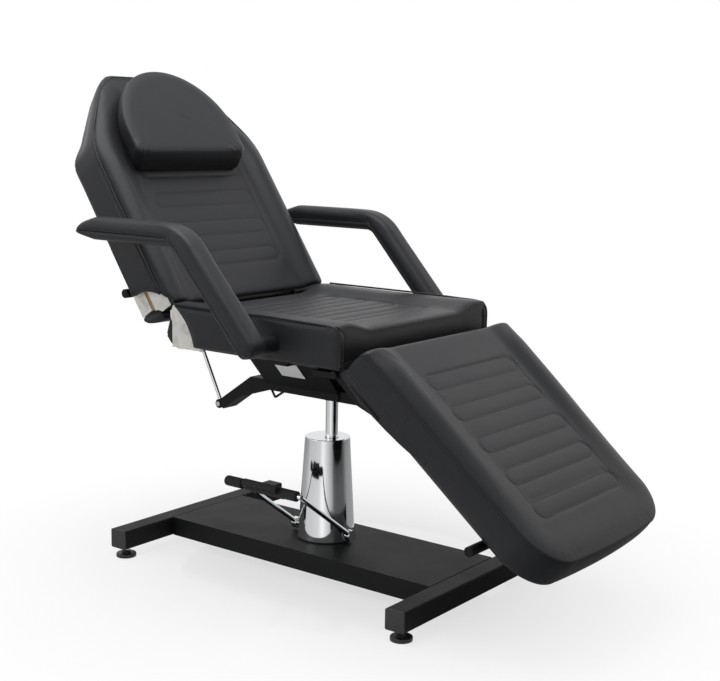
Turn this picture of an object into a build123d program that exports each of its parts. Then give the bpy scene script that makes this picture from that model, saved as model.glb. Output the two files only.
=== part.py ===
"""Hydraulic tattoo chair: H-shaped base, pedal pump, swivelling seat, reclining back, leg rest, two arms."""

import os
from math import cos, radians, sin, tan

from build123d import *

os.makedirs("parts", exist_ok=True)

# Sizes are in millimetres. The chair is drawn about the middle of its base: X across, the sitter
# faces -Y, Z up from the floor. Finished pieces are then moved along Y, so that the origin is
# the middle of the whole chair's footprint.
footprint_shift = 55.5
overrun = 20
running_gap = 0.05
seat_gap = 0.3

# Base
base_width = 600
base_length = 906.5
tube_depth = 50.4
tube_height = 47.7
tube_wall = 2.5
tube_corner = 4
floor_gap = 25.5
base_top = floor_gap + tube_height
box_width = 263.5
box_sheet = 3
cap_flange = 2
cap_plug = 18
cap_wall = 2.5
foot_inset = 26.7
foot_radius = 25
foot_height = 9
foot_edge = 2.5
foot_neck_radius = 11
foot_neck_height = 5
stud_radius = 5
stud_above = 40
nut_across = 17
nut_height = 8

# Column and pump
column_y = -13.7
rod_radius = 15.2
rod_top = 470
rod_bottom = 128
barrel_radius = 26
barrel_bottom = 34
barrel_top = 318
barrel_floor = 6
wiper_height = 7
wiper_radius = 22
shroud_x = 6.4
shroud_y = 4.0
shroud_bottom_radius = 71.1
shroud_top_radius = 55.5
shroud_top = 328.9
shroud_sheet = 1.5
shroud_hole_gap = 1.8
shroud_edge = 2
flange_radius = 66
flange_height = 8
casting_width = 44
casting_neck_radius = 34
casting_height = 38
flange_bolt_circle = 58
flange_bolt_radius = 4
flange_bolt_head_radius = 6.5
flange_bolt_head = 5
flange_bolt_length = 14
flange_bolt_count = 4

# Foot pedal
pedal_z = 91
pedal_near_y = -76
pedal_far_y = 94
pedal_stub_radius = 8
pedal_near_inside = 30
pedal_far_inside = 42
collar_radius = 14
collar_length = 14
pedal_arm_radius = 6
pedal_bar_x = -195
pedal_bar_z = 231
pedal_bar_end = 147
pedal_sleeve_radius = 12.5
pedal_sleeve_clear = 8
paddle_near_y = -19
paddle_width = 52
paddle_thickness = 15
paddle_rib_count = 5
paddle_rib_pitch = 9
paddle_rib_width = 3.5
paddle_rib_height = 2

# Seat frame
spine_width = 50
spine_top = 452
spine_height = 26
spine_wall = 2.5
spine_front = -160
elbow_y = 232
arm_run = 107
arm_drop = 74
hub_radius = 20
hub_bottom = 424
hub_top = 478
gusset_sheet = 4
gusset_front_length = 57
gusset_rear_share = 0.49
lug_sheet = 5
lug_width = 24
spine_end_sheet = 3
hook_front_y = 141
hook_rear_y = 182
hook_tip_y = 170
hook_drop = 23
hook_radius = 3
hook_neck = 4
hook_bend = 4
pan_sheet = 4
pan_front = -55
pan_rear = 175
pan_strip = 20
pan_slope = 47
pan_flange = 34
plate_length = 74
plate_height = 52
plate_sheet = 1
plate_middle_y = 57
plate_middle_z = 498
pan_bolt_radius = 4
pan_bolt_head_radius = 7
pan_bolt_head = 4
pan_bolt_edge = 14

# Seat
board_bottom = 560
board_height = 15
seat_half_width = 279
seat_front = -262
seat_rear = 252
seat_panel_z = 641
seat_panel_half = 178
seat_shoulder_z = 654
seat_crown_z = 665
seat_crown_x = 256
seat_front_edge = 24
seat_rear_edge = 16
board_margin = 12
skirt_thickness = 17.7
skirt_bottom = 566
skirt_top = 661
skirt_front = -266
skirt_edge = 4
skirt_corner = 26
notch_y = 297
notch_z = 537
notch_radius = 150

# Sewn ribs of the cushions
rib_length = 356
rib_width = 42
rib_pitch = 89
rib_groove = 3
rib_depth = 2.5
seat_rib_count = 4
seat_rib_middle = -12
leg_rib_count = 5
leg_rib_first = 115
back_rib_count = 5
back_rib_pitch = 87
back_rib_first = 112

# Backrest, about its hinge
back_tilt = 56
back_pivot_y = 270
back_pivot_z = 630
back_pivot_to_face = 26.7
back_pivot_to_end = 15.8
back_length = 655
back_half_width = 297
back_thickness = 92
back_shoulder = 452
back_shoulder_share = 0.31
back_head_half = 156
back_head_share = 0.52
back_shoulder_radius = 160
back_head_radius = 45
back_taper_start = 430
back_head_thickness = 66
back_panel_half = 200
back_crown = 18
back_crown_x = 252
back_crown_edge = 6
back_board_depth = 51
back_board_height = 12
back_board_margin = 26

# Pillow, on the backrest
pillow_x = -12
pillow_low = 362
pillow_high = 632
pillow_half_width = 190
pillow_circle = 186
pillow_thickness = 70
pillow_edge = 24
pillow_corner = 24

# Leg rest, about its hinge
leg_tilt = 40.3
leg_pivot_y = -248
leg_pivot_z = 556
leg_pivot_to_face = 99.6
leg_pivot_to_end = 22.5
leg_length = 602
leg_half_top = 287
leg_half_end = 268
leg_thickness = 84
leg_corner = 92
leg_end_bow = 12
leg_crown = 20
leg_crown_end = 2
leg_crown_x = 246
leg_crown_edge = 5
leg_panel_half = 200
leg_board_height = 12
leg_board_margin = 22
leg_nose = 26
leg_flat_share = 0.6

# Hinges
hinge_sheet = 6
hinge_pin_radius = 5
hinge_eye_radius = 11
hinge_head_radius = 9
hinge_head = 4
foot_sheet = 4
foot_bolt_radius = 3
foot_bolt_head_radius = 5.5
foot_bolt_head = 3
foot_bolt_bite = 9
foot_bolt_inset = 11
back_hinge_x = 186
back_hinge_foot = 36
back_post_foot_front = 182
back_post_low = 543
back_bracket_over = 11.2
back_bracket_out = 15
back_bracket_behind = 10
back_bracket_length = 76
leg_arm_x = 283
leg_eye_radius = 9
leg_ear_low = 547
leg_ear_rear = -190
leg_foot_half = 22
leg_foot_width = 50
leg_arm_length = 120
leg_arm_height = 22
leg_arm_rise = 6

# Gas springs
spring_rod_radius = 5
spring_eye_radius = 9
spring_eye_width = 12
spring_pin_radius = 4
spring_head_share = 1.6
spring_neck = 14
spring_end_wall = 8
spring_gland = 10
spring_wall = 2
spring_piston = 10
spring_overlap = 25
back_spring_foot_y = 355
back_spring_foot_z = 362
back_spring_lean = 63.6
back_spring_length = 580
back_spring_bare = 260
back_spring_radius = 14
back_spring_up = 384
back_spring_depth = 170
leg_spring_foot_y = -178
leg_spring_foot_z = 439
leg_spring_lean = 189.43
leg_spring_length = 232
leg_spring_bare = 78
leg_spring_slack = 93
leg_spring_radius = 11
leg_spring_down = 200
leg_spring_depth = 115
bracket_sheet = 5
bracket_gap = 1
bracket_half_width = 40
bracket_half_length = 40
bracket_root = 28
bracket_eye_radius = 14

# Release bars
bar_radius = 11
bar_half_length = 288
bar_arm_x = 120
bar_arm_length = 46
bar_arm_sheet = 4
bar_arm_half_width = 8
bar_stand = 25.5
bar_pivot_stand = 16
bar_pin_radius = 3
bar_ear_sheet = 3
bar_ear_half = 9
bar_foot_half = 16
back_bar_up = 96
leg_bar_down = 452
leg_bar_stand = 33

# Arms
arm_stand = 91
arm_width = 62
arm_half_thickness = 25
arm_pivot_y = -80
arm_pivot_z = 606
arm_bend_y = 128
arm_level_z = 836
arm_tip_y = 464
arm_inner_radius = 34
arm_outer_radius = 130
arm_tip_top_radius = 34
arm_tip_low_radius = 12
arm_base_level = 20
arm_base_slope = 10
arm_round = 15
arm_stud_radius = 6
arm_stud_past = 14
arm_nut_radius = 10
arm_nut_height = 8
arm_hub_radius = 15
arm_cover = 14
arm_spacer_radius = 19
arm_spacer_edge = 2
arm_bracket_sheet = 4.4
arm_bracket_half = 30
arm_bracket_top = 636
arm_bracket_foot = 48


def save(label, *pieces):
    """Moves finished pieces to the footprint's frame and writes them as one node."""
    shift = Location((0, footprint_shift, 0))
    placed = Compound([solid.moved(shift) for piece in pieces for solid in piece.part.solids()])
    placed.label = label
    export_step(placed, f"parts/{label}.step")
    print(label, len(placed.solids()), round(placed.volume))


def across(x):
    """Plane at x, with Y and Z as its own two directions."""
    return Plane.YZ.offset(x)


def facing_rear(y):
    """Plane at y, with X and Z as its own two directions, that looks to the front."""
    return Plane.XZ.offset(-y)


def outline_corner(sketch, u, v):
    """The vertices of a sketch that stand at u, v in its plane."""
    return [p for p in sketch.vertices() if abs(p.X - u) < seat_gap and abs(p.Y - v) < seat_gap]


def polygon(*points):
    """A closed outline with straight sides."""
    with BuildSketch() as shape:
        with BuildLine():
            Polyline(*points, close=True)
        make_face()
    return shape.sketch


def discs(places, radius):
    """Round outlines of one size at several places."""
    with BuildSketch() as shape:
        with Locations(*places):
            Circle(radius)
    return shape.sketch


def drill(plane, places, radius, depth):
    """Drills straight holes into the piece being built."""
    with BuildSketch(plane) as holes:
        add(discs(places, radius))
    extrude(holes.sketch, amount=depth, both=True, mode=Mode.SUBTRACT)


# Base: two cross tubes joined by a wide flat box, on four levelling feet
tube_length = base_width - 2 * cap_flange
tube_middle_y = (base_length - tube_depth) / 2
tube_middle_z = floor_gap + tube_height / 2
foot_x = base_width / 2 - foot_inset
foot_places = [(x, y) for x in (-foot_x, foot_x) for y in (-tube_middle_y, tube_middle_y)]

with BuildPart() as cross_tubes:
    with BuildSketch(across(-tube_length / 2)):
        with Locations((-tube_middle_y, tube_middle_z), (tube_middle_y, tube_middle_z)):
            RectangleRounded(tube_depth, tube_height, tube_corner)
            RectangleRounded(
                tube_depth - 2 * tube_wall,
                tube_height - 2 * tube_wall,
                tube_corner - tube_wall / 2,
                mode=Mode.SUBTRACT,
            )
    extrude(amount=tube_length)
    with BuildSketch(Plane.XY.offset(floor_gap - tube_wall)):
        with Locations(*foot_places):
            Circle(stud_radius + running_gap)
    extrude(amount=2 * tube_wall, mode=Mode.SUBTRACT)
save("cross_tubes", cross_tubes)

with BuildPart() as tube_caps:
    for y in (-tube_middle_y, tube_middle_y):
        for x, way in ((-base_width / 2, 1), (base_width / 2, -1)):
            with BuildSketch(across(x)):
                with Locations((y, tube_middle_z)):
                    RectangleRounded(tube_depth, tube_height, tube_corner)
            extrude(amount=way * cap_flange)
            with BuildSketch(across(x + way * cap_flange)):
                with Locations((y, tube_middle_z)):
                    RectangleRounded(
                        tube_depth - 2 * tube_wall - 2 * seat_gap,
                        tube_height - 2 * tube_wall - 2 * seat_gap,
                        tube_corner - tube_wall / 2,
                    )
                    Rectangle(
                        tube_depth - 2 * tube_wall - 2 * cap_wall,
                        tube_height - 2 * tube_wall - 2 * cap_wall,
                        mode=Mode.SUBTRACT,
                    )
            extrude(amount=way * cap_plug)
save("tube_end_caps", tube_caps)

box_length = base_length - 2 * tube_depth
with BuildPart() as base_box:
    with BuildSketch(facing_rear(box_length / 2)):
        with Locations((0, tube_middle_z)):
            Rectangle(box_width, tube_height)
        with Locations((0, tube_middle_z - box_sheet)):
            Rectangle(box_width - 2 * box_sheet, tube_height, mode=Mode.SUBTRACT)
    extrude(amount=box_length)
    with BuildSketch(Plane.XY.offset(base_top - 2 * box_sheet)):
        with Locations((0, column_y)):
            Circle(barrel_radius + seat_gap)
        with Locations((shroud_x, shroud_y)):
            with PolarLocations(flange_bolt_circle, flange_bolt_count, start_angle=45):
                Circle(flange_bolt_radius + seat_gap)
    extrude(amount=3 * box_sheet, mode=Mode.SUBTRACT)
save("base_box", base_box)

with BuildPart() as feet:
    with BuildSketch():
        with Locations(*foot_places):
            Circle(foot_radius)
    extrude(amount=foot_height)
    fillet(feet.edges().group_by(Axis.Z)[-1], foot_edge)
    with BuildSketch(Plane.XY.offset(foot_height)):
        with Locations(*foot_places):
            Circle(foot_neck_radius)
    extrude(amount=foot_neck_height)
    with BuildSketch(Plane.XY.offset(foot_height)):
        with Locations(*foot_places):
            Circle(stud_radius)
    extrude(amount=stud_above)
save("levelling_feet", feet)

with BuildPart() as foot_nuts:
    with BuildSketch(Plane.XY.offset(floor_gap - nut_height)):
        with Locations(*foot_places):
            RegularPolygon(nut_across / 2, 6, major_radius=False)
            Circle(stud_radius + running_gap, mode=Mode.SUBTRACT)
    extrude(amount=nut_height)
save("foot_lock_nuts", foot_nuts)

# Pump: casting on the base box, barrel with the piston's bore, wiper ring and chrome shroud
with BuildPart() as casting:
    with BuildSketch(Plane.XY.offset(base_top)):
        with Locations((shroud_x, shroud_y)):
            Circle(flange_radius)
    extrude(amount=flange_height)
    with BuildSketch(Plane.XY.offset(base_top)):
        Rectangle(casting_width, 2 * pedal_far_y)
        with Locations((shroud_x, shroud_y)):
            Circle(flange_radius, mode=Mode.INTERSECT)
        with Locations((0, column_y)):
            Circle(casting_neck_radius)
    extrude(amount=casting_height)
    with BuildSketch(Plane.XY.offset(base_top - overrun)):
        with Locations((0, column_y)):
            Circle(barrel_radius + running_gap)
    extrude(amount=casting_height + 2 * overrun, mode=Mode.SUBTRACT)
    with BuildSketch(Plane.XY.offset(base_top - overrun)):
        with Locations((shroud_x, shroud_y)):
            with PolarLocations(flange_bolt_circle, flange_bolt_count, start_angle=45):
                Circle(flange_bolt_radius + running_gap)
    extrude(amount=flange_height + overrun, mode=Mode.SUBTRACT)
    for y, inside in ((pedal_near_y, pedal_near_inside), (pedal_far_y, -pedal_far_inside)):
        with BuildSketch(facing_rear(y + inside)):
            with Locations((0, pedal_z)):
                Circle(pedal_stub_radius + running_gap)
        extrude(amount=inside, mode=Mode.SUBTRACT)
save("pump_casting", casting)

with BuildPart() as barrel:
    with BuildSketch(Plane.XY.offset(barrel_bottom)):
        with Locations((0, column_y)):
            Circle(barrel_radius)
    extrude(amount=barrel_top - barrel_bottom)
    with BuildSketch(Plane.XY.offset(barrel_bottom + barrel_floor)):
        with Locations((0, column_y)):
            Circle(rod_radius + running_gap)
    extrude(amount=barrel_top, mode=Mode.SUBTRACT)
save("pump_barrel", barrel)

with BuildPart() as wiper:
    with BuildSketch(Plane.XY.offset(barrel_top)):
        with Locations((0, column_y)):
            Circle(wiper_radius)
            Circle(rod_radius + running_gap, mode=Mode.SUBTRACT)
    extrude(amount=wiper_height)
save("rod_wiper_seal", wiper)

with BuildPart() as flange_bolts:
    with BuildSketch(Plane.XY.offset(base_top + flange_height - flange_bolt_length)):
        with Locations((shroud_x, shroud_y)):
            with PolarLocations(flange_bolt_circle, flange_bolt_count, start_angle=45):
                Circle(flange_bolt_radius)
    extrude(amount=flange_bolt_length)
    with BuildSketch(Plane.XY.offset(base_top + flange_height)):
        with Locations((shroud_x, shroud_y)):
            with PolarLocations(flange_bolt_circle, flange_bolt_count, start_angle=45):
                RegularPolygon(flange_bolt_head_radius, 6)
    extrude(amount=flange_bolt_head)
save("pump_flange_bolts", flange_bolts)

with BuildPart() as shroud:
    with BuildSketch(Plane.XY.offset(base_top)):
        with Locations((shroud_x, shroud_y)):
            Circle(shroud_bottom_radius)
    with BuildSketch(Plane.XY.offset(shroud_top)):
        with Locations((shroud_x, shroud_y)):
            Circle(shroud_top_radius)
    loft()
    fillet(shroud.edges().group_by(Axis.Z)[-1], shroud_edge)
    with BuildSketch(Plane.XY.offset(base_top)):
        with Locations((shroud_x, shroud_y)):
            Circle(shroud_bottom_radius - shroud_sheet)
    with BuildSketch(Plane.XY.offset(shroud_top - shroud_sheet)):
        with Locations((shroud_x, shroud_y)):
            Circle(shroud_top_radius - shroud_sheet)
    loft(mode=Mode.SUBTRACT)
    with BuildSketch(Plane.XY.offset(shroud_top - 2 * shroud_sheet)):
        with Locations((0, column_y)):
            Circle(rod_radius + shroud_hole_gap)
    extrude(amount=3 * shroud_sheet, mode=Mode.SUBTRACT)
    with BuildSketch(facing_rear(pedal_near_y)):
        with Locations((0, pedal_z)):
            Circle(pedal_stub_radius + shroud_hole_gap)
    extrude(amount=pedal_near_y - pedal_far_y, mode=Mode.SUBTRACT)
save("pump_shroud", shroud)

# Pedal: two stub shafts with collars, two arms up to a cross rod, rubber on the rod
with BuildPart() as pedal_stubs:
    for y, inside, way in ((pedal_near_y, pedal_near_inside, 1), (pedal_far_y, pedal_far_inside, -1)):
        with BuildSketch(facing_rear(y - way * collar_length / 2)):
            with Locations((0, pedal_z)):
                Circle(pedal_stub_radius)
        extrude(amount=-way * (inside - seat_gap + collar_length / 2))

with BuildPart() as collars:
    for y in (pedal_near_y, pedal_far_y):
        with BuildSketch(facing_rear(y)):
            with Locations((0, pedal_z)):
                Circle(collar_radius)
                Circle(pedal_stub_radius + running_gap, mode=Mode.SUBTRACT)
        extrude(amount=collar_length / 2, both=True)
save("pedal_pivots", pedal_stubs, collars)

pedal_rise = pedal_bar_z - pedal_z
pedal_slant = (pedal_bar_x**2 + pedal_rise**2) ** 0.5
pedal_side_x = pedal_bar_x / pedal_slant
pedal_side_z = pedal_rise / pedal_slant
with BuildPart() as pedal_arms:
    for y in (pedal_near_y, pedal_far_y):
        start = (collar_radius * pedal_side_x, y, pedal_z + collar_radius * pedal_side_z)
        reach = pedal_slant - collar_radius - pedal_arm_radius
        with BuildSketch(Plane(origin=start, z_dir=(pedal_side_x, 0, pedal_side_z))):
            Circle(pedal_arm_radius)
        extrude(amount=reach)

with BuildPart() as pedal_rod:
    with BuildSketch(facing_rear(pedal_near_y - pedal_arm_radius)):
        with Locations((pedal_bar_x, pedal_bar_z)):
            Circle(pedal_arm_radius)
    extrude(amount=-(pedal_bar_end - pedal_near_y))
save("pedal_arms", pedal_arms, pedal_rod)

paddle_tilt = Plane(
    origin=(pedal_bar_x, paddle_near_y, pedal_bar_z), x_dir=(pedal_side_x, 0, pedal_side_z), z_dir=(0, 1, 0)
)
sleeve_near = pedal_near_y + pedal_sleeve_clear
sleeve_far = pedal_far_y - pedal_sleeve_clear
with BuildPart() as foot_bar:
    with BuildSketch(facing_rear(sleeve_near)):
        with Locations((pedal_bar_x, pedal_bar_z)):
            Circle(pedal_sleeve_radius)
    extrude(amount=-(sleeve_far - sleeve_near))
    with BuildSketch(paddle_tilt):
        RectangleRounded(paddle_width, paddle_thickness, paddle_thickness / 2 - seat_gap)
    extrude(amount=sleeve_far - paddle_near_y)
    for way in (-1, 1):
        with BuildSketch(paddle_tilt):
            with Locations((0, way * (paddle_thickness / 2 + paddle_rib_height / 4))):
                with GridLocations(paddle_rib_pitch, 0, paddle_rib_count, 1):
                    Rectangle(paddle_rib_width, paddle_rib_height)
        extrude(amount=sleeve_far - paddle_near_y)
    with BuildSketch(facing_rear(sleeve_near - overrun)):
        with Locations((pedal_bar_x, pedal_bar_z)):
            Circle(pedal_arm_radius + running_gap)
    extrude(amount=-(sleeve_far - sleeve_near + 2 * overrun), mode=Mode.SUBTRACT)

with BuildPart() as foot_bar_end:
    with BuildSketch(facing_rear(pedal_far_y + pedal_sleeve_clear)):
        with Locations((pedal_bar_x, pedal_bar_z)):
            Circle(pedal_sleeve_radius)
    extrude(amount=-(pedal_bar_end - pedal_far_y))
    fillet(foot_bar_end.edges().group_by(Axis.Y)[-1], pedal_sleeve_radius / 2)
    with BuildSketch(facing_rear(pedal_far_y)):
        with Locations((pedal_bar_x, pedal_bar_z)):
            Circle(pedal_arm_radius + running_gap)
    extrude(amount=-(pedal_bar_end - pedal_far_y - pedal_arm_radius + seat_gap), mode=Mode.SUBTRACT)
save("foot_bar", foot_bar, foot_bar_end)

# Column: the piston rod, whose top carries the swivel hub
with BuildPart() as piston:
    with BuildSketch(Plane.XY.offset(rod_bottom)):
        with Locations((0, column_y)):
            Circle(rod_radius)
    extrude(amount=rod_top - rod_bottom)
    chamfer(piston.edges().group_by(Axis.Z)[-1], pan_sheet / 2)
save("piston_rod", piston)

with BuildPart() as hub:
    with BuildSketch(Plane.XY.offset(hub_bottom)):
        with Locations((0, column_y)):
            Circle(hub_radius)
    extrude(amount=hub_top - hub_bottom)
    with BuildSketch(Plane.XY.offset(hub_bottom)):
        with Locations((0, column_y)):
            Circle(rod_radius + running_gap)
    extrude(amount=rod_top + running_gap - hub_bottom, mode=Mode.SUBTRACT)
save("swivel_hub", hub)


# Spine: a flat box tube under the seat, with an elbow down to the back's gas spring
spine_low = spine_top - spine_height
slope_length = (arm_run**2 + arm_drop**2) ** 0.5
slope_y = arm_run / slope_length
slope_z = -arm_drop / slope_length
fold = spine_height * (1 - slope_y) / -slope_z


def down_slope(run, depth):
    """A point on the sloping end of the spine: run past its end, depth below its top face."""
    return (
        elbow_y + arm_run + run * slope_y + depth * slope_z,
        spine_top - arm_drop + run * slope_z - depth * slope_y,
    )


def spine_outline(wall, extra):
    """Side view of the tube, drawn in by its wall, with both ends run out by extra."""
    inner_depth = spine_height - wall
    return polygon(
        (spine_front - extra, spine_top - wall),
        (elbow_y - fold * wall / spine_height, spine_top - wall),
        down_slope(extra, wall),
        down_slope(extra, inner_depth),
        (elbow_y - fold * inner_depth / spine_height, spine_low + wall),
        (spine_front - extra, spine_low + wall),
    )


with BuildPart() as spine:
    with BuildSketch(across(-spine_width / 2)):
        add(spine_outline(0, 0))
    extrude(amount=spine_width)
    with BuildSketch(across(-spine_width / 2 + spine_wall)):
        add(spine_outline(spine_wall, overrun))
    extrude(amount=spine_width - 2 * spine_wall, mode=Mode.SUBTRACT)
    drill(Plane.XY.offset(spine_low), [(0, column_y)], hub_radius + running_gap, 2 * spine_height)
save("spine_tube", spine)

with BuildPart() as end_plates:
    with BuildSketch(across(-spine_width / 2)):
        add(
            polygon(
                (spine_front, spine_top),
                (spine_front, spine_low),
                (spine_front - spine_end_sheet, spine_low),
                (spine_front - spine_end_sheet, spine_top),
            )
        )
        add(
            polygon(
                down_slope(0, 0),
                down_slope(0, spine_height),
                down_slope(spine_end_sheet, spine_height),
                down_slope(spine_end_sheet, 0),
            )
        )
    extrude(amount=spine_width)

low_elbow_y = elbow_y - fold
with BuildPart() as gussets:
    with BuildSketch(across(spine_width / 2 - gusset_sheet)):
        add(
            polygon(
                (low_elbow_y - gusset_front_length, spine_low),
                (low_elbow_y, spine_low),
                down_slope(-slope_length * (1 - gusset_rear_share), spine_height),
            )
        )
    extrude(amount=gusset_sheet)
    mirror(about=Plane.YZ)
save("elbow_gussets", gussets)

with BuildPart() as hook:
    with BuildLine() as hook_path:
        FilletPolyline(
            (0, hook_front_y, spine_low),
            (0, hook_front_y, spine_low - hook_neck),
            (0, hook_tip_y, spine_low - hook_drop),
            (0, hook_rear_y, spine_low - hook_neck),
            (0, hook_rear_y, spine_low),
            radius=hook_bend,
        )
    with BuildSketch(Plane(origin=hook_path.line @ 0, z_dir=hook_path.line % 0)):
        Circle(hook_radius)
    sweep()
save("under_hook", hook)

# Lugs welded to both ends of the spine hold the gas springs' lower eyes
lug_x = spring_eye_width / 2 + seat_gap
back_foot = (back_spring_foot_y, back_spring_foot_z)
leg_foot = (leg_spring_foot_y, leg_spring_foot_z)
with BuildPart() as spring_lugs:
    with BuildSketch(across(lug_x)):
        add(
            polygon(
                down_slope(spine_end_sheet, 0),
                (back_foot[0] - slope_z * lug_width / 2, back_foot[1] + slope_y * lug_width / 2),
                (back_foot[0] + slope_z * lug_width / 2, back_foot[1] - slope_y * lug_width / 2),
                down_slope(spine_end_sheet, spine_height),
            )
        )
        add(
            polygon(
                (spine_front - spine_end_sheet, leg_foot[1] + lug_width / 2),
                (spine_front - spine_end_sheet, leg_foot[1] - lug_width / 2),
                (leg_foot[0], leg_foot[1] - lug_width / 2),
                (leg_foot[0], leg_foot[1] + lug_width / 2),
            )
        )
        add(discs([back_foot, leg_foot], lug_width / 2))
        add(discs([back_foot, leg_foot], spring_pin_radius), mode=Mode.SUBTRACT)
    extrude(amount=lug_sheet)
    mirror(about=Plane.YZ)
save("spring_lugs", end_plates, spring_lugs)

with BuildPart() as lug_pins:
    with BuildSketch(across(0)):
        add(discs([back_foot, leg_foot], spring_pin_radius))
    extrude(amount=lug_x + lug_sheet, both=True)
    with BuildSketch(across(lug_x + lug_sheet)) as pin_heads:
        add(discs([back_foot, leg_foot], spring_head_share * spring_pin_radius))
    extrude(amount=spring_pin_radius)
    mirror(about=Plane.YZ)

# Pan: folded sheet from the spine's sides up to the seat board
pan_low_z = spine_low + pan_strip
pan_top_z = board_bottom - pan_sheet
pan_spread = (pan_top_z - pan_low_z) / tan(radians(pan_slope))
pan_fold = pan_sheet * tan(radians(pan_slope / 2))
pan_half = spine_width / 2 + pan_spread + pan_flange
pan_bolt_places = [
    (x * (pan_half - pan_bolt_edge), y)
    for x in (-1, 1)
    for y in (pan_front + pan_bolt_edge, pan_rear - pan_bolt_edge)
]
with BuildPart() as pan:
    with BuildSketch(facing_rear(pan_rear)):
        add(
            polygon(
                (spine_width / 2, spine_low + pan_sheet),
                (spine_width / 2, pan_low_z),
                (spine_width / 2 + pan_spread, board_bottom),
                (pan_half, board_bottom),
                (pan_half, pan_top_z),
                (spine_width / 2 + pan_spread + pan_fold, pan_top_z),
                (spine_width / 2 + pan_sheet, pan_low_z - pan_fold),
                (spine_width / 2 + pan_sheet, spine_low + pan_sheet),
            )
        )
    extrude(amount=pan_rear - pan_front)
    mirror(about=Plane.YZ)
    drill(Plane.XY.offset(board_bottom), pan_bolt_places, pan_bolt_radius, 2 * pan_sheet)
save("support_pan", pan)

with BuildPart() as pan_bolts:
    with BuildSketch(Plane.XY.offset(pan_top_z - pan_bolt_head)):
        with Locations(*pan_bolt_places):
            RegularPolygon(pan_bolt_head_radius, 6)
    extrude(amount=pan_bolt_head)
    with BuildSketch(Plane.XY.offset(pan_top_z)):
        add(discs(pan_bolt_places, pan_bolt_radius))
    extrude(amount=pan_sheet + foot_bolt_bite)

plate_rise = plate_middle_z - pan_low_z + pan_fold
pan_outer_x = spine_width / 2 + pan_sheet + plate_rise / tan(radians(pan_slope))
plate_plane = Plane(
    origin=(-pan_outer_x, plate_middle_y, plate_middle_z),
    x_dir=(0, 1, 0),
    z_dir=(-sin(radians(pan_slope)), 0, -cos(radians(pan_slope))),
)
with BuildPart() as plate:
    with BuildSketch(plate_plane):
        RectangleRounded(plate_length, plate_height, plate_sheet)
    extrude(amount=plate_sheet)
save("blank_plate", plate)


# Cushions: a section across the width, with a raised roll along each side and a flat sewn panel
def roll_section(half_width, bottom, shoulder, roll_x, roll, panel_half, panel):
    """Closed section, the same on both sides, its heights measured from the plane it is put on."""
    with BuildSketch() as section:
        with BuildLine():
            Polyline(
                (-half_width, shoulder), (-half_width, bottom), (half_width, bottom), (half_width, shoulder)
            )
            Spline(
                (half_width, shoulder), (roll_x, roll), (panel_half, panel), tangents=((0, 1), (-1, 0))
            )
            Line((panel_half, panel), (-panel_half, panel))
            Spline(
                (-panel_half, panel), (-roll_x, roll), (-half_width, shoulder), tangents=((-1, 0), (0, -1))
            )
        make_face()
    return section.sketch


def cut_ribs(plane, places):
    """Cuts the sewn outlines of the ribs into the panel of the cushion being built."""
    with BuildSketch(plane) as grooves:
        with Locations(*places):
            SlotOverall(rib_length, rib_width)
            SlotOverall(rib_length - 2 * rib_groove, rib_width - 2 * rib_groove, mode=Mode.SUBTRACT)
    extrude(grooves.sketch, amount=-rib_depth, mode=Mode.SUBTRACT)


def cut_notch():
    """Cuts the round opening at the hinge out of the side panel being built."""
    drill(across(0), [(notch_y, notch_z)], notch_radius, base_width)


# Feet of the brackets under the seat board, as (x, y) of their bolts
leg_ear_x = leg_arm_x + foot_sheet + 2 * running_gap
post_bolts = [
    (x * (back_hinge_x - back_hinge_foot + foot_bolt_inset), y)
    for x in (-1, 1)
    for y in (back_post_foot_front + foot_bolt_inset, seat_rear - board_margin - foot_bolt_inset)
]
ear_bolts = [
    (x * (leg_ear_x + foot_sheet - leg_foot_width + foot_bolt_inset), leg_ear_rear - y * foot_bolt_inset)
    for x in (-1, 1)
    for y in (1, 3)
]
arm_foot_x = seat_half_width + seat_gap + arm_bracket_sheet - arm_bracket_foot
arm_foot_bolts = [
    (x * (arm_foot_x + foot_bolt_inset), arm_pivot_y + y * (arm_bracket_half - foot_bolt_inset))
    for x in (-1, 1)
    for y in (-1, 1)
]
seat_bolt_places = post_bolts + ear_bolts + arm_foot_bolts
board_top = board_bottom + board_height
board_half = seat_half_width - board_margin

with BuildPart() as seat_board:
    with BuildSketch(Plane.XY.offset(board_bottom)):
        with Locations((0, (seat_front + seat_rear) / 2)):
            Rectangle(2 * board_half, seat_rear - seat_front - 2 * board_margin)
    extrude(amount=board_height)
    drill(Plane.XY.offset(board_bottom), pan_bolt_places, pan_bolt_radius, foot_bolt_bite)
    drill(Plane.XY.offset(board_bottom), seat_bolt_places, foot_bolt_radius, foot_bolt_bite)
save("seat_board", seat_board)

with BuildPart() as seat_cushion:
    with BuildSketch(facing_rear(seat_rear)):
        add(
            roll_section(
                seat_half_width,
                board_top,
                seat_shoulder_z,
                seat_crown_x,
                seat_crown_z,
                seat_panel_half,
                seat_panel_z,
            )
        )
    extrude(amount=seat_rear - seat_front)
    with BuildSketch(across(-seat_half_width)) as seat_side:
        add(
            polygon(
                (seat_front, board_top),
                (seat_rear, board_top),
                (seat_rear, seat_crown_z),
                (seat_front, seat_crown_z),
            )
        )
        fillet(outline_corner(seat_side, seat_front, seat_crown_z), seat_front_edge)
        fillet(outline_corner(seat_side, seat_rear, seat_crown_z), seat_rear_edge)
    extrude(amount=2 * seat_half_width, mode=Mode.INTERSECT)
    cut_ribs(
        Plane.XY.offset(seat_panel_z),
        [(0, seat_rib_middle + rib_pitch * (i - (seat_rib_count - 1) / 2)) for i in range(seat_rib_count)],
    )
save("seat_cushion", seat_cushion)

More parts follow.
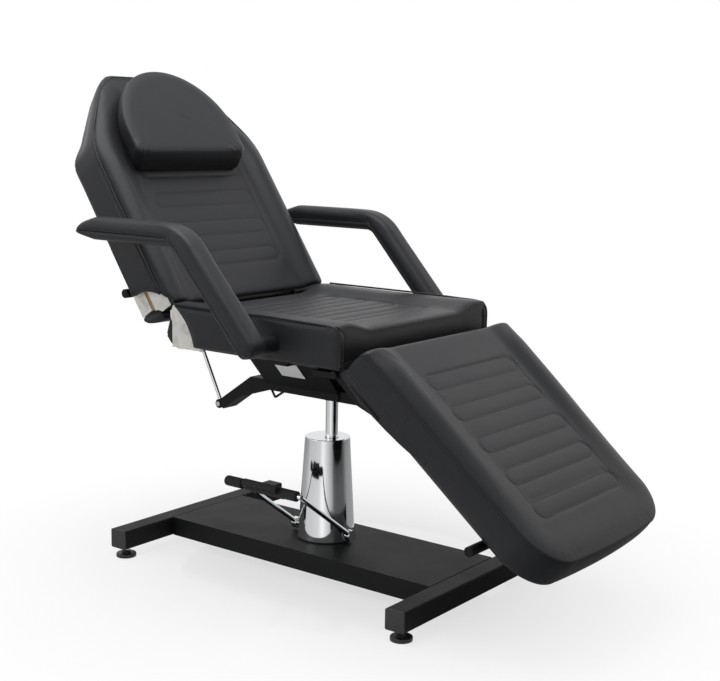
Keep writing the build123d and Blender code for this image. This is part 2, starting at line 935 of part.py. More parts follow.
skirt_x = seat_half_width + seat_gap
for label, side in (("seat_side_panel_right", -1), ("seat_side_panel_left", 1)):
    with BuildPart() as panel:
        with BuildSketch(across(side * skirt_x)) as skirt_side:
            add(
                polygon(
                    (skirt_front, skirt_bottom),
                    (seat_rear, skirt_bottom),
                    (seat_rear, skirt_top),
                    (skirt_front, skirt_top),
                )
            )
            fillet(outline_corner(skirt_side, skirt_front, skirt_top), skirt_corner)
        extrude(amount=side * skirt_thickness)
        fillet(panel.faces().sort_by(Axis.X)[-1 if side > 0 else 0].edges(), skirt_edge)
        cut_notch()
        with BuildSketch(across(side * skirt_x)):
            with Locations((arm_pivot_y, (skirt_bottom + arm_bracket_top) / 2)):
                Rectangle(
                    2 * arm_bracket_half + 2 * seat_gap, arm_bracket_top - skirt_bottom + 2 * seat_gap
                )
        extrude(amount=side * (arm_bracket_sheet + seat_gap), mode=Mode.SUBTRACT)
        with BuildSketch(across(side * skirt_x)):
            with Locations((arm_pivot_y, skirt_bottom)):
                Rectangle(2 * arm_bracket_half + 2 * seat_gap, overrun)
        extrude(amount=side * (arm_bracket_sheet + seat_gap), mode=Mode.SUBTRACT)
        drill(across(0), [(arm_pivot_y, arm_pivot_z)], arm_stud_radius + seat_gap, base_width)
    save(label, panel)

# Brackets under the seat board: posts of the back's hinge, ears of the leg rest's hinge, arm plates
with BuildPart() as posts:
    with BuildSketch(across(back_hinge_x - hinge_sheet)):
        add(
            polygon(
                (back_post_foot_front, back_post_low),
                (back_pivot_y + hinge_eye_radius, back_post_low),
                (back_pivot_y + hinge_eye_radius, back_pivot_z),
                (back_pivot_y - hinge_eye_radius, back_pivot_z),
                (back_pivot_y - hinge_eye_radius, board_bottom),
                (back_post_foot_front, board_bottom),
            )
        )
        add(discs([(back_pivot_y, back_pivot_z)], hinge_eye_radius))
        add(discs([(back_pivot_y, back_pivot_z)], hinge_pin_radius), mode=Mode.SUBTRACT)
    extrude(amount=hinge_sheet)
    foot_rear = seat_rear - board_margin
    with BuildSketch(Plane.XY.offset(board_bottom)):
        with Locations((back_hinge_x - back_hinge_foot / 2, (back_post_foot_front + foot_rear) / 2)):
            Rectangle(back_hinge_foot, foot_rear - back_post_foot_front)
    extrude(amount=-foot_sheet)
    mirror(about=Plane.YZ)
    drill(Plane.XY.offset(board_bottom), post_bolts, foot_bolt_radius, 2 * foot_sheet)
save("back_hinge_posts", posts)

with BuildPart() as back_pins:
    with BuildSketch(across(back_hinge_x - hinge_sheet)):
        add(discs([(back_pivot_y, back_pivot_z)], hinge_pin_radius))
    extrude(amount=2 * hinge_sheet + 2 * running_gap + hinge_head / 2)
    with BuildSketch(across(back_hinge_x - hinge_sheet)):
        add(discs([(back_pivot_y, back_pivot_z)], hinge_head_radius))
    extrude(amount=-hinge_head)
    mirror(about=Plane.YZ)
save("frame_pins", lug_pins, back_pins)

with BuildPart() as leg_ears:
    with BuildSketch(across(leg_ear_x)):
        add(
            polygon(
                (leg_pivot_y, leg_ear_low),
                (leg_ear_rear, leg_ear_low),
                (leg_ear_rear, board_bottom),
                (leg_pivot_y, board_bottom),
            )
        )
        add(discs([(leg_pivot_y, leg_pivot_z)], leg_eye_radius))
        add(discs([(leg_pivot_y, leg_pivot_z)], hinge_pin_radius), mode=Mode.SUBTRACT)
    extrude(amount=foot_sheet)
    with BuildSketch(Plane.XY.offset(board_bottom)):
        with Locations((leg_ear_x + foot_sheet - leg_foot_width / 2, leg_ear_rear - leg_foot_half)):
            Rectangle(leg_foot_width, 2 * leg_foot_half)
    extrude(amount=-foot_sheet)
    mirror(about=Plane.YZ)
    drill(Plane.XY.offset(board_bottom), ear_bolts, foot_bolt_radius, 2 * foot_sheet)
save("leg_hinge_ears", leg_ears)

with BuildPart() as leg_bolts:
    with BuildSketch(across(leg_arm_x - hinge_head / 2)):
        add(discs([(leg_pivot_y, leg_pivot_z)], hinge_pin_radius))
    extrude(amount=leg_ear_x + foot_sheet - leg_arm_x + hinge_head / 2)
    with BuildSketch(across(leg_ear_x + foot_sheet)):
        with Locations((leg_pivot_y, leg_pivot_z)):
            RegularPolygon(hinge_head_radius, 6)
    extrude(amount=hinge_head)
    mirror(about=Plane.YZ)
save("leg_hinge_bolts", leg_bolts)

with BuildPart() as arm_plates:
    with BuildSketch(across(skirt_x)):
        with Locations((arm_pivot_y, (pan_top_z + arm_bracket_top) / 2)):
            Rectangle(2 * arm_bracket_half, arm_bracket_top - pan_top_z)
    extrude(amount=arm_bracket_sheet)
    with BuildSketch(Plane.XY.offset(board_bottom)):
        with Locations((arm_foot_x + arm_bracket_foot / 2, arm_pivot_y)):
            Rectangle(arm_bracket_foot, 2 * arm_bracket_half)
    extrude(amount=-foot_sheet)
    mirror(about=Plane.YZ)
    drill(Plane.XY.offset(board_bottom), arm_foot_bolts, foot_bolt_radius, 2 * foot_sheet)
save("arm_brackets", arm_plates)

arm_x = seat_half_width + arm_stand
arm_inner_x = arm_x - arm_width / 2
arm_stud_end = arm_x + arm_stud_past
arm_stud_start = skirt_x + arm_bracket_sheet
with BuildPart() as studs:
    with BuildSketch(across(arm_stud_start)):
        add(discs([(arm_pivot_y, arm_pivot_z)], arm_stud_radius))
    extrude(amount=arm_stud_end - arm_stud_start)
    mirror(about=Plane.YZ)

with BuildPart() as stud_nuts:
    with BuildSketch(across(arm_stud_end - arm_nut_height)):
        with Locations((arm_pivot_y, arm_pivot_z)):
            RegularPolygon(arm_nut_radius, 6)
            Circle(arm_stud_radius, mode=Mode.SUBTRACT)
    extrude(amount=arm_nut_height)
    mirror(about=Plane.YZ)

skirt_outer = skirt_x + skirt_thickness
with BuildPart() as spacers:
    with BuildSketch(across(skirt_outer)):
        add(discs([(arm_pivot_y, arm_pivot_z)], arm_spacer_radius))
    extrude(amount=arm_inner_x - 2 * running_gap - skirt_outer)
    fillet(spacers.edges().filter_by(GeomType.CIRCLE), arm_spacer_edge)
    mirror(about=Plane.YZ)
    drill(across(0), [(arm_pivot_y, arm_pivot_z)], arm_stud_radius, base_width)
save("arm_pivot_bolts", studs, stud_nuts, spacers)

with BuildPart() as seat_bolts:
    with BuildSketch(Plane.XY.offset(pan_top_z)):
        add(discs(seat_bolt_places, foot_bolt_head_radius))
    extrude(amount=-foot_bolt_head)
    with BuildSketch(Plane.XY.offset(pan_top_z)):
        add(discs(seat_bolt_places, foot_bolt_radius))
    extrude(amount=foot_sheet + foot_bolt_bite)
save("seat_bolts", pan_bolts, seat_bolts)


# A panel that tilts about a hinge. Its points are given along the panel and out of its face.
class Panel:
    """The frame of the backrest or of the leg rest."""

    def __init__(self, pivot, along, out, to_face, to_end):
        self.along = along
        self.out = out
        self.origin = tuple(pivot[i] + to_face * out[i] + to_end * along[i] for i in (0, 1, 2))
        self.way = 1 if along[1] > 0 else -1

    def point(self, along, out, x=0):
        """A point of the panel in the chair's frame."""
        place = [self.origin[i] + along * self.along[i] + out * self.out[i] for i in (0, 1, 2)]
        return (x, place[1], place[2])

    def face(self, out):
        """Plane parallel to the panel's face. X is across, Y along the panel."""
        return Plane(origin=self.point(0, out), x_dir=(self.way, 0, 0), z_dir=self.out)

    def side(self, x):
        """Plane across the panel at x, seen from the left. X is along the panel, Y out of it."""
        return Plane(origin=self.point(0, 0, x), x_dir=self.along, z_dir=(self.way, 0, 0))

    def section(self, along):
        """Plane square to the panel's length. X is across, Y out of it."""
        return Plane(
            origin=self.point(along, 0), x_dir=(1, 0, 0), z_dir=tuple(-self.way * v for v in self.along)
        )


back = Panel(
    (0, back_pivot_y, back_pivot_z),
    (0, cos(radians(back_tilt)), sin(radians(back_tilt))),
    (0, -sin(radians(back_tilt)), cos(radians(back_tilt))),
    back_pivot_to_face,
    back_pivot_to_end,
)
leg = Panel(
    (0, leg_pivot_y, leg_pivot_z),
    (0, -cos(radians(leg_tilt)), -sin(radians(leg_tilt))),
    (0, -sin(radians(leg_tilt)), cos(radians(leg_tilt))),
    leg_pivot_to_face,
    leg_pivot_to_end,
)


def back_outline(margin):
    """Outline of the backrest from the front, drawn in by margin at its sides and head."""
    half = back_half_width - margin
    shoulder = back_shoulder - back_shoulder_share * margin
    head = back_head_half - back_head_share * margin
    with BuildSketch() as shape:
        add(
            polygon(
                (-half, 0),
                (half, 0),
                (half, shoulder),
                (head, back_length - margin),
                (-head, back_length - margin),
                (-half, shoulder),
            )
        )
        fillet(shape.vertices().sort_by(Axis.Y)[2:4], back_shoulder_radius - margin)
        fillet(shape.vertices().sort_by(Axis.Y)[-2:], back_head_radius - margin)
    return shape.sketch


def cut_head():
    """Thins the piece that is being built towards the head, from behind."""
    with BuildSketch(back.side(-back_half_width)) as head_side:
        add(
            polygon(
                (back_taper_start, -back_thickness),
                (back_length, -back_head_thickness),
                (back_length, -back_thickness),
            )
        )
    extrude(head_side.sketch, amount=2 * back_half_width, mode=Mode.SUBTRACT)


def leg_outline(margin):
    """Outline of the leg rest from above, drawn in by margin at its sides and end."""
    half_end = leg_half_end - margin
    square_end = leg_length - leg_end_bow - margin
    with BuildSketch() as shape:
        with BuildLine():
            Polyline(
                (-half_end, square_end),
                (-leg_half_top + margin, margin / 2),
                (leg_half_top - margin, margin / 2),
                (half_end, square_end),
            )
            ThreePointArc((half_end, square_end), (0, leg_length - margin), (-half_end, square_end))
        make_face()
        fillet(shape.vertices().sort_by(Axis.Y)[-2:], leg_corner - margin)
    return shape.sketch


back_board_face = -back_board_depth - back_board_height
back_rear_face = -back_thickness
bracket_foot_x = back_hinge_x + 2 * running_gap + hinge_sheet - back_hinge_foot / 2
bracket_bolts = [
    (x * (bracket_foot_x - foot_bolt_inset / 2), along)
    for x in (-1, 1)
    for along in (2 * foot_bolt_inset, back_bracket_length - foot_bolt_inset)
]
band_half = skirt_thickness + seat_gap
with BuildPart() as back_board:
    with BuildSketch(back.face(back_board_face)):
        add(back_outline(back_board_margin))
    extrude(amount=back_board_height)
    drill(back.face(back_board_face), bracket_bolts, foot_bolt_radius, foot_bolt_bite)
save("back_board", back_board)

with BuildPart() as back_cushion:
    with BuildSketch(back.section(0)):
        add(
            roll_section(
                back_half_width - band_half,
                back_board_face + back_board_height,
                -back_crown_edge,
                back_crown_x,
                back_crown,
                back_panel_half,
                0,
            )
        )
    extrude(amount=-back_length)
    with BuildSketch(back.face(-back_board_depth)):
        add(back_outline(band_half))
    extrude(amount=back_board_depth + 2 * back_crown, mode=Mode.INTERSECT)
    cut_ribs(back.face(0), [(0, back_rib_first + back_rib_pitch * i) for i in range(back_rib_count)])
save("back_cushion", back_cushion)

with BuildPart() as back_pad:
    with BuildSketch(back.face(back_rear_face)):
        add(back_outline(band_half))
    extrude(amount=-back_rear_face + back_board_face)
    with BuildSketch(back.face(back_board_face)):
        with Locations((-bracket_foot_x, 0), (bracket_foot_x, 0)):
            Rectangle(
                back_hinge_foot + 4 * seat_gap, 2 * back_bracket_length + 2 * foot_bolt_inset
            )
    extrude(amount=-back_bracket_behind - 2 * seat_gap, mode=Mode.SUBTRACT)
    cut_head()
save("back_rear_pad", back_pad)

for label, side in (("back_side_panel_right", -1), ("back_side_panel_left", 1)):
    with BuildPart() as band:
        with BuildSketch(back.face(back_rear_face)):
            add(back_outline(0))
            add(back_outline(skirt_thickness), mode=Mode.SUBTRACT)
            with Locations((side * base_width, 0)):
                Rectangle(2 * base_width, 4 * back_length, mode=Mode.INTERSECT)
        extrude(amount=back_thickness)
        cut_head()
        cut_notch()
    save(label, band)

with BuildPart() as back_brackets:
    with BuildSketch(back.side(back_hinge_x + 2 * running_gap)):
        add(
            polygon(
                (-back_pivot_to_end - back_bracket_over, -back_bracket_out),
                (-seat_gap, -back_bracket_out),
                (-seat_gap, back_board_face),
                (back_bracket_length, back_board_face),
                (back_bracket_length, back_board_face - back_bracket_behind),
                (-back_pivot_to_end - back_bracket_over, back_board_face - back_bracket_behind),
            )
        )
        pivot_place = [(-back_pivot_to_end, -back_pivot_to_face)]
        add(discs(pivot_place, hinge_pin_radius + running_gap), mode=Mode.SUBTRACT)
    extrude(amount=hinge_sheet)
    with BuildSketch(back.face(back_board_face)):
        with Locations((bracket_foot_x, (back_bracket_length + foot_bolt_inset) / 2)):
            Rectangle(back_hinge_foot, back_bracket_length - foot_bolt_inset)
    extrude(amount=-foot_sheet)
    mirror(about=Plane.YZ)
    drill(back.face(back_board_face), bracket_bolts, foot_bolt_radius, 2 * foot_sheet)
save("back_hinge_brackets", back_brackets)

with BuildPart() as back_bolts:
    with BuildSketch(back.face(back_board_face - foot_sheet)):
        add(discs(bracket_bolts, foot_bolt_head_radius))
    extrude(amount=-foot_bolt_head)
    with BuildSketch(back.face(back_board_face - foot_sheet)):
        add(discs(bracket_bolts, foot_bolt_radius))
    extrude(amount=foot_sheet + foot_bolt_bite)


def spring_bracket(panel, face_out, along, depth, inner_x):
    """Foot plate on the panel's rear face with two ears about a gas spring's upper eye."""
    with BuildPart() as bracket:
        with BuildSketch(panel.face(face_out)):
            with Locations((0, along)):
                RectangleRounded(2 * bracket_half_width, 2 * bracket_half_length, bracket_sheet)
        extrude(amount=-bracket_sheet)
        with BuildSketch(panel.side(panel.way * inner_x)):
            add(
                polygon(
                    (along - bracket_root, face_out),
                    (along + bracket_root, face_out),
                    (along + bracket_eye_radius, -depth),
                    (along - bracket_eye_radius, -depth),
                )
            )
            add(discs([(along, -depth)], bracket_eye_radius))
            add(discs([(along, -depth)], spring_pin_radius), mode=Mode.SUBTRACT)
        extrude(amount=bracket_sheet)
        mirror(about=Plane.YZ)
    return bracket


def ear_bolts_of(panel, along, depth, inner_x):
    """Short bolts in a spring bracket's two ears."""
    with BuildPart() as bolts:
        with BuildSketch(panel.side(panel.way * inner_x)):
            add(discs([(along, -depth)], spring_pin_radius))
        extrude(amount=bracket_sheet)
        with BuildSketch(panel.side(panel.way * (inner_x + bracket_sheet))):
            add(discs([(along, -depth)], 2 * spring_pin_radius))
        extrude(amount=spring_pin_radius)
        mirror(about=Plane.YZ)
    return bolts


def gas_spring(foot, lean, length, bare, slack, tube_radius, name):
    """Rod with its eye and piston, and cylinder with its gland and eye, along one leaning axis."""
    tilt = radians(lean)
    axis = (0, cos(tilt), sin(tilt))
    start = Plane(origin=(0, foot[0], foot[1]), x_dir=(1, 0, 0), z_dir=axis)
    eye_plane = Plane(origin=(-spring_eye_width / 2, foot[0], foot[1]), x_dir=axis, z_dir=(1, 0, 0))
    rod_end = bare + slack
    tube_length = length - bare - spring_neck
    with BuildPart() as rod:
        with BuildSketch(start):
            Circle(spring_rod_radius)
        extrude(amount=rod_end)
        with BuildSketch(eye_plane):
            Circle(spring_eye_radius)
        extrude(amount=spring_eye_width)
        drill(eye_plane, [(0, 0)], spring_pin_radius + running_gap, base_width)
    with BuildPart() as head:
        with BuildSketch(start.offset(rod_end)):
            Circle(tube_radius - spring_wall - running_gap)
        extrude(amount=spring_piston)
    save(name + "_rod", rod, head)
    with BuildPart() as tube:
        with BuildSketch(start.offset(bare)):
            Circle(tube_radius)
        extrude(amount=tube_length)
        with BuildSketch(start.offset(bare + spring_gland)):
            Circle(tube_radius - spring_wall)
        extrude(amount=tube_length - spring_gland - spring_end_wall, mode=Mode.SUBTRACT)
        with BuildSketch(start.offset(bare - overrun)):
            Circle(spring_rod_radius + running_gap)
        extrude(amount=2 * overrun, mode=Mode.SUBTRACT)
        with BuildSketch(start.offset(bare + tube_length)):
            Circle(spring_rod_radius)
        extrude(amount=spring_neck)
        with BuildSketch(eye_plane):
            with Locations((length, 0)):
                Circle(spring_eye_radius)
        extrude(amount=spring_eye_width)
        drill(eye_plane, [(length, 0)], spring_pin_radius + running_gap, base_width)
    save(name + "_cylinder", tube)


def release_bar(panel, face_out, bar_along, stand, way, name):
    """Full-width bar behind the panel: rod with a grip tube, two arms, their ears and pivot pins."""
    pivot_along = bar_along - way * bar_arm_length
    bar_out = face_out - stand
    pivot_out = face_out - bar_pivot_stand
    with BuildPart() as bar:
        with BuildSketch(panel.side(-panel.way * bar_half_length)):
            with Locations((bar_along, bar_out)):
                Circle(bar_radius)
        extrude(amount=2 * bar_half_length)
        chamfer(bar.faces().filter_by(Axis.X).edges(), bar_pin_radius / 2)
    with BuildPart() as arms:
        with BuildSketch(panel.side(panel.way * (bar_arm_x - bar_arm_sheet / 2))):
            add(
                polygon(
                    (pivot_along, pivot_out - bar_arm_half_width),
                    (pivot_along, pivot_out + bar_arm_half_width),
                    (bar_along, bar_out + bar_arm_half_width),
                    (bar_along, bar_out - bar_arm_half_width),
                )
            )
            add(discs([(pivot_along, pivot_out)], bar_arm_half_width))
            add(discs([(bar_along, bar_out)], bar_radius), mode=Mode.SUBTRACT)
            add(discs([(pivot_along, pivot_out)], bar_pin_radius + running_gap), mode=Mode.SUBTRACT)
        extrude(amount=bar_arm_sheet)
        mirror(about=Plane.YZ)
    save(name + "_release_bar", bar, arms)
    ear_x = bar_arm_x + bar_arm_sheet / 2 + 2 * running_gap
    with BuildPart() as ears:
        with BuildSketch(panel.side(panel.way * ear_x)):
            with Locations((pivot_along, (face_out + pivot_out) / 2)):
                Rectangle(2 * bar_ear_half, bar_pivot_stand)
            add(discs([(pivot_along, pivot_out)], bar_ear_half))
            add(discs([(pivot_along, pivot_out)], bar_pin_radius), mode=Mode.SUBTRACT)
        extrude(amount=bar_ear_sheet)
        with BuildSketch(panel.face(face_out)):
            with Locations((bar_arm_x, pivot_along)):
                Rectangle(2 * bar_foot_half, 2 * bar_foot_half)
        extrude(amount=-bar_ear_sheet)
        mirror(about=Plane.YZ)
    save(name + "_release_ears", ears)
    with BuildPart() as pins:
        with BuildSketch(panel.side(panel.way * (bar_arm_x - bar_arm_sheet))):
            add(discs([(pivot_along, pivot_out)], bar_pin_radius))
        extrude(amount=ear_x + bar_ear_sheet - bar_arm_x + bar_arm_sheet)
        with BuildSketch(panel.side(panel.way * (ear_x + bar_ear_sheet))):
            add(discs([(pivot_along, pivot_out)], 2 * bar_pin_radius))
        extrude(amount=bar_pin_radius)
        mirror(about=Plane.YZ)
    print(name, "release pivot", panel.point(pivot_along, pivot_out))
    return pins


back_outer = back_rear_face - seat_gap / 3
back_ear_x = back_spring_radius + bracket_gap
save("back_spring_bracket", spring_bracket(back, back_outer, back_spring_up, back_spring_depth, back_ear_x))
gas_spring(
    back_foot,
    back_spring_lean,
    back_spring_length,
    back_spring_bare,
    spring_overlap,
    back_spring_radius,
    "back_spring",
)
back_lever_pins = release_bar(back, back_outer, back_bar_up, bar_stand, -1, "back")
back_ear_bolts = ear_bolts_of(back, back_spring_up, back_spring_depth, back_ear_x)
save("back_bolts", back_bolts, back_ear_bolts, back_lever_pins)

# Pillow: a D shape on the sewn panel of the backrest
with BuildPart() as pillow:
    pillow_middle = pillow_high - pillow_circle
    with BuildSketch(back.face(seat_gap)) as pillow_shape:
        add(
            polygon(
                (pillow_x - pillow_half_width, pillow_low),
                (pillow_x + pillow_half_width, pillow_low),
                (pillow_x + pillow_circle, pillow_middle),
                (pillow_x - pillow_circle, pillow_middle),
            )
        )
        add(discs([(pillow_x, pillow_middle)], pillow_circle))
        with Locations((pillow_x, pillow_low)):
            Rectangle(
                2 * pillow_half_width, 2 * pillow_high, align=(Align.CENTER, Align.MIN), mode=Mode.INTERSECT
            )
        fillet(pillow_shape.vertices().sort_by(Axis.Y)[:2], pillow_corner)
    extrude(amount=pillow_thickness)
    out_axis = Axis(origin=(0, 0, 0), direction=back.out)
    fillet(pillow.faces().sort_by(out_axis)[-1].edges(), pillow_edge)
    fillet(pillow.faces().sort_by(out_axis)[0].edges(), pillow_edge / 2)
save("pillow", pillow)

# Leg rest
leg_board_face = -leg_thickness
leg_foot_x = leg_arm_x + foot_sheet - leg_foot_width / 2
leg_foot_bolts = [
    (x * (leg_arm_x + foot_sheet - leg_foot_width + foot_bolt_inset), along)
    for x in (-1, 1)
    for along in (3 * foot_bolt_inset, leg_arm_length - foot_bolt_inset)
]
with BuildPart() as leg_board:
    with BuildSketch(leg.face(leg_board_face)):
        add(leg_outline(leg_board_margin))
    extrude(amount=leg_board_height)
    drill(leg.face(leg_board_face), leg_foot_bolts, foot_bolt_radius, foot_bolt_bite)
save("leg_board", leg_board)

with BuildPart() as leg_cushion:
    leg_rolls = (0, leg_crown), (leg_flat_share * leg_length, leg_crown_end), (leg_length, leg_crown_end)
    for along, roll in leg_rolls:
        with BuildSketch(leg.section(along)):
            add(
                roll_section(
                    leg_half_top, leg_board_face, -leg_crown_edge, leg_crown_x, roll, leg_panel_half, 0
                )
            )
    loft()
    with BuildSketch(leg.face(leg_board_face)):
        add(leg_outline(0))
    extrude(amount=leg_thickness + 2 * leg_crown, mode=Mode.INTERSECT)
    with BuildSketch(leg.side(-leg.way * leg_half_top)) as leg_side:
        add(
            polygon(
                (0, -leg_thickness),
                (leg_length, -leg_thickness),
                (leg_length, leg_crown),
                (0, leg_crown),
            )
        )
        fillet(outline_corner(leg_side, 0, leg_crown), leg_nose)
    extrude(amount=2 * leg_half_top, mode=Mode.INTERSECT)
    with BuildSketch(leg.face(leg_board_face)):
        add(leg_outline(leg_board_margin))
    extrude(amount=leg_board_height, mode=Mode.SUBTRACT)
    cut_ribs(leg.face(0), [(0, leg_rib_first + rib_pitch * i) for i in range(leg_rib_count)])
save("leg_cushion", leg_cushion)

leg_outer = leg_board_face - seat_gap / 3
leg_eye_place = [(-leg_pivot_to_end, -leg_pivot_to_face)]
leg_arm_low = -leg_pivot_to_face - leg_eye_radius
with BuildPart() as leg_arms:
    with BuildSketch(leg.side(-leg_arm_x)):
        add(
            polygon(
                (-leg_pivot_to_end, -leg_pivot_to_face + leg_eye_radius),
                (0, -leg_pivot_to_face + leg_eye_radius),
                (leg_arm_rise, leg_outer),
                (leg_arm_length, leg_outer),
                (leg_arm_length, leg_outer - foot_sheet),
                (leg_arm_length / 2, leg_arm_low),
                (-leg_pivot_to_end, leg_arm_low),
            )
        )
        add(discs(leg_eye_place, leg_eye_radius))
        add(discs(leg_eye_place, hinge_pin_radius + running_gap), mode=Mode.SUBTRACT)
    extrude(amount=-foot_sheet)
    with BuildSketch(leg.face(leg_outer)):
        with Locations((leg_foot_x, (leg_arm_length + 2 * foot_bolt_inset) / 2)):
            Rectangle(leg_foot_width, leg_arm_length - 2 * foot_bolt_inset)
    extrude(amount=-foot_sheet)
    mirror(about=Plane.YZ)
    drill(leg.face(leg_outer), leg_foot_bolts, foot_bolt_radius, 2 * foot_sheet)
save("leg_hinge_arms", leg_arms)

with BuildPart() as leg_foot_screws:
    with BuildSketch(leg.face(leg_outer - foot_sheet)):
        add(discs(leg_foot_bolts, foot_bolt_head_radius))
    extrude(amount=-foot_bolt_head)
    with BuildSketch(leg.face(leg_outer - foot_sheet)):
        add(discs(leg_foot_bolts, foot_bolt_radius))
    extrude(amount=foot_sheet + foot_bolt_bite)

leg_ear_gap_x = leg_spring_radius + bracket_gap
save("leg_spring_bracket", spring_bracket(leg, leg_outer, leg_spring_down, leg_spring_depth, leg_ear_gap_x))
gas_spring(
    leg_foot,
    leg_spring_lean,
    leg_spring_length,
    leg_spring_bare,
    leg_spring_slack,
    leg_spring_radius,
    "leg_spring",
)
leg_lever_pins = release_bar(leg, leg_outer, leg_bar_down, leg_bar_stand, 1, "leg")
leg_ear_bolts = ear_bolts_of(leg, leg_spring_down, leg_spring_depth, leg_ear_gap_x)
save("leg_bolts", leg_foot_screws, leg_ear_bolts, leg_lever_pins)

# Arms: a bent pad on a base strip, turning on a hub at its lower end
arm_run_y = arm_bend_y - arm_pivot_y
arm_run_z = arm_level_z - arm_pivot_z
arm_slant = (arm_run_y**2 + arm_run_z**2) ** 0.5
arm_side_y = arm_run_y / arm_slant
arm_side_z = arm_run_z / arm_slant


def arm_point(along, under):
    """A point of the arm's sloping part: along it from the pivot, and under its middle line."""
    return (
        arm_pivot_y + along * arm_side_y + under * arm_side_z,
        arm_pivot_z + along * arm_side_z - under * arm_side_y,
    )


def arm_bend(under, level):
    """Where the line that runs under the slope meets the level line at that height."""
    return arm_point((level - arm_pivot_z + under * arm_side_y) / arm_side_z, under)


arm_low = arm_level_z - arm_half_thickness
arm_high = arm_level_z + arm_half_thickness
arm_pivot = (arm_pivot_y, arm_pivot_z)
outer_bend = arm_bend(-arm_half_thickness, arm_high)
inner_bend = arm_bend(arm_half_thickness, arm_low)
strip_under = arm_half_thickness - arm_base_slope
strip_level = arm_low + arm_base_level
for label, side in (("right", -1), ("left", 1)):
    with BuildPart() as whole:
        with BuildSketch(across(side * arm_inner_x)) as arm_shape:
            add(
                polygon(
                    arm_point(0, -arm_half_thickness),
                    outer_bend,
                    (arm_tip_y, arm_high),
                    (arm_tip_y, arm_low),
                    inner_bend,
                    arm_point(0, arm_half_thickness),
                )
            )
            add(discs([arm_pivot], arm_half_thickness))
            fillet(outline_corner(arm_shape, *outer_bend), arm_outer_radius)
            fillet(outline_corner(arm_shape, *inner_bend), arm_inner_radius)
            fillet(outline_corner(arm_shape, arm_tip_y, arm_high), arm_tip_top_radius)
            fillet(outline_corner(arm_shape, arm_tip_y, arm_low), arm_tip_low_radius)
        extrude(amount=side * arm_width)
        fillet(whole.faces().filter_by(Axis.X).edges(), arm_round)
        with BuildSketch(across(side * arm_inner_x)):
            add(discs([arm_pivot], arm_hub_radius))
        extrude(amount=side * (arm_width - arm_cover), mode=Mode.SUBTRACT)
    with BuildSketch(across(side * (arm_inner_x - overrun))) as strip_side:
        add(
            polygon(
                arm_point(-2 * arm_half_thickness, strip_under),
                arm_bend(strip_under, strip_level),
                (arm_tip_y + overrun, strip_level),
                (arm_tip_y + overrun, arm_low - overrun),
                (arm_tip_y, arm_pivot_z - 4 * overrun),
                (arm_pivot_y, arm_pivot_z - 4 * overrun),
            )
        )
    with BuildPart() as pad:
        add(whole.part)
        extrude(strip_side.sketch, amount=side * (arm_width + 2 * overrun), mode=Mode.SUBTRACT)
    save(f"arm_pad_{label}", pad)
    with BuildPart() as strip:
        add(whole.part)
        extrude(strip_side.sketch, amount=side * (arm_width + 2 * overrun), mode=Mode.INTERSECT)
    save(f"arm_base_{label}", strip)
    with BuildPart() as hub_tube:
        with BuildSketch(across(side * arm_inner_x)):
            with Locations(arm_pivot):
                Circle(arm_hub_radius)
                Circle(arm_stud_radius + running_gap, mode=Mode.SUBTRACT)
        extrude(amount=side * (arm_stud_end - arm_nut_height - 2 * running_gap - arm_inner_x))
    save(f"arm_hub_{label}", hub_tube)

print("back hinge", back_pivot_y + footprint_shift, back_pivot_z)
print("leg hinge", leg_pivot_y + footprint_shift, leg_pivot_z)
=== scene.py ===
# %% [markdown]
# # A hydraulic tattoo chair
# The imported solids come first: they are the fixed frame, and every piece below is fitted to them.
# All lengths are typed in millimetres, as an upholsterer would, and turned to metres where a mesh is made.

# %% Load the frame
import math
import time

import bmesh
import bpy
import numpy as np
from mathutils import Matrix, Vector, noise


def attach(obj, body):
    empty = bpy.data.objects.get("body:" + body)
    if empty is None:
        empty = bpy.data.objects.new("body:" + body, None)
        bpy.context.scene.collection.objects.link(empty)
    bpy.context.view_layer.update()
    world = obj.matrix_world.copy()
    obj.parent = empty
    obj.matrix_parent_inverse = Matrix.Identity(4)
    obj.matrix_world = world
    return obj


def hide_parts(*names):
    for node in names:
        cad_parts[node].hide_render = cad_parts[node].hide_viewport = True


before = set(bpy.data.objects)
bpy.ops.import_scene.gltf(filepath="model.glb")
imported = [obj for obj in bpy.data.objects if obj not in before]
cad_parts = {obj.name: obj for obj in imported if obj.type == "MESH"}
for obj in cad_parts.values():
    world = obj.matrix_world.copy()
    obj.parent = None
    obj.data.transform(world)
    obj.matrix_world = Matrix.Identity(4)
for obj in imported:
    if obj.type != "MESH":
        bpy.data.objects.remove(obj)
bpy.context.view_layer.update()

# %% [markdown]
# The chair stands about the middle of its base, but the frame's origin is the middle of the whole
# footprint, 55.5 mm further to the rear. One function makes that step and the change of unit.

# %% From the chair's own millimetres to the frame's metres, and new objects
FOOTPRINT_SHIFT = 55.5


def chair(x, y, z):
    """A point of the chair, in metres."""
    return Vector((x, y + FOOTPRINT_SHIFT, z)) / 1000


def in_scene(name, data):
    """A new object with this data, in the scene."""
    piece = bpy.data.objects.new(name, data)
    bpy.context.scene.collection.objects.link(piece)
    return piece


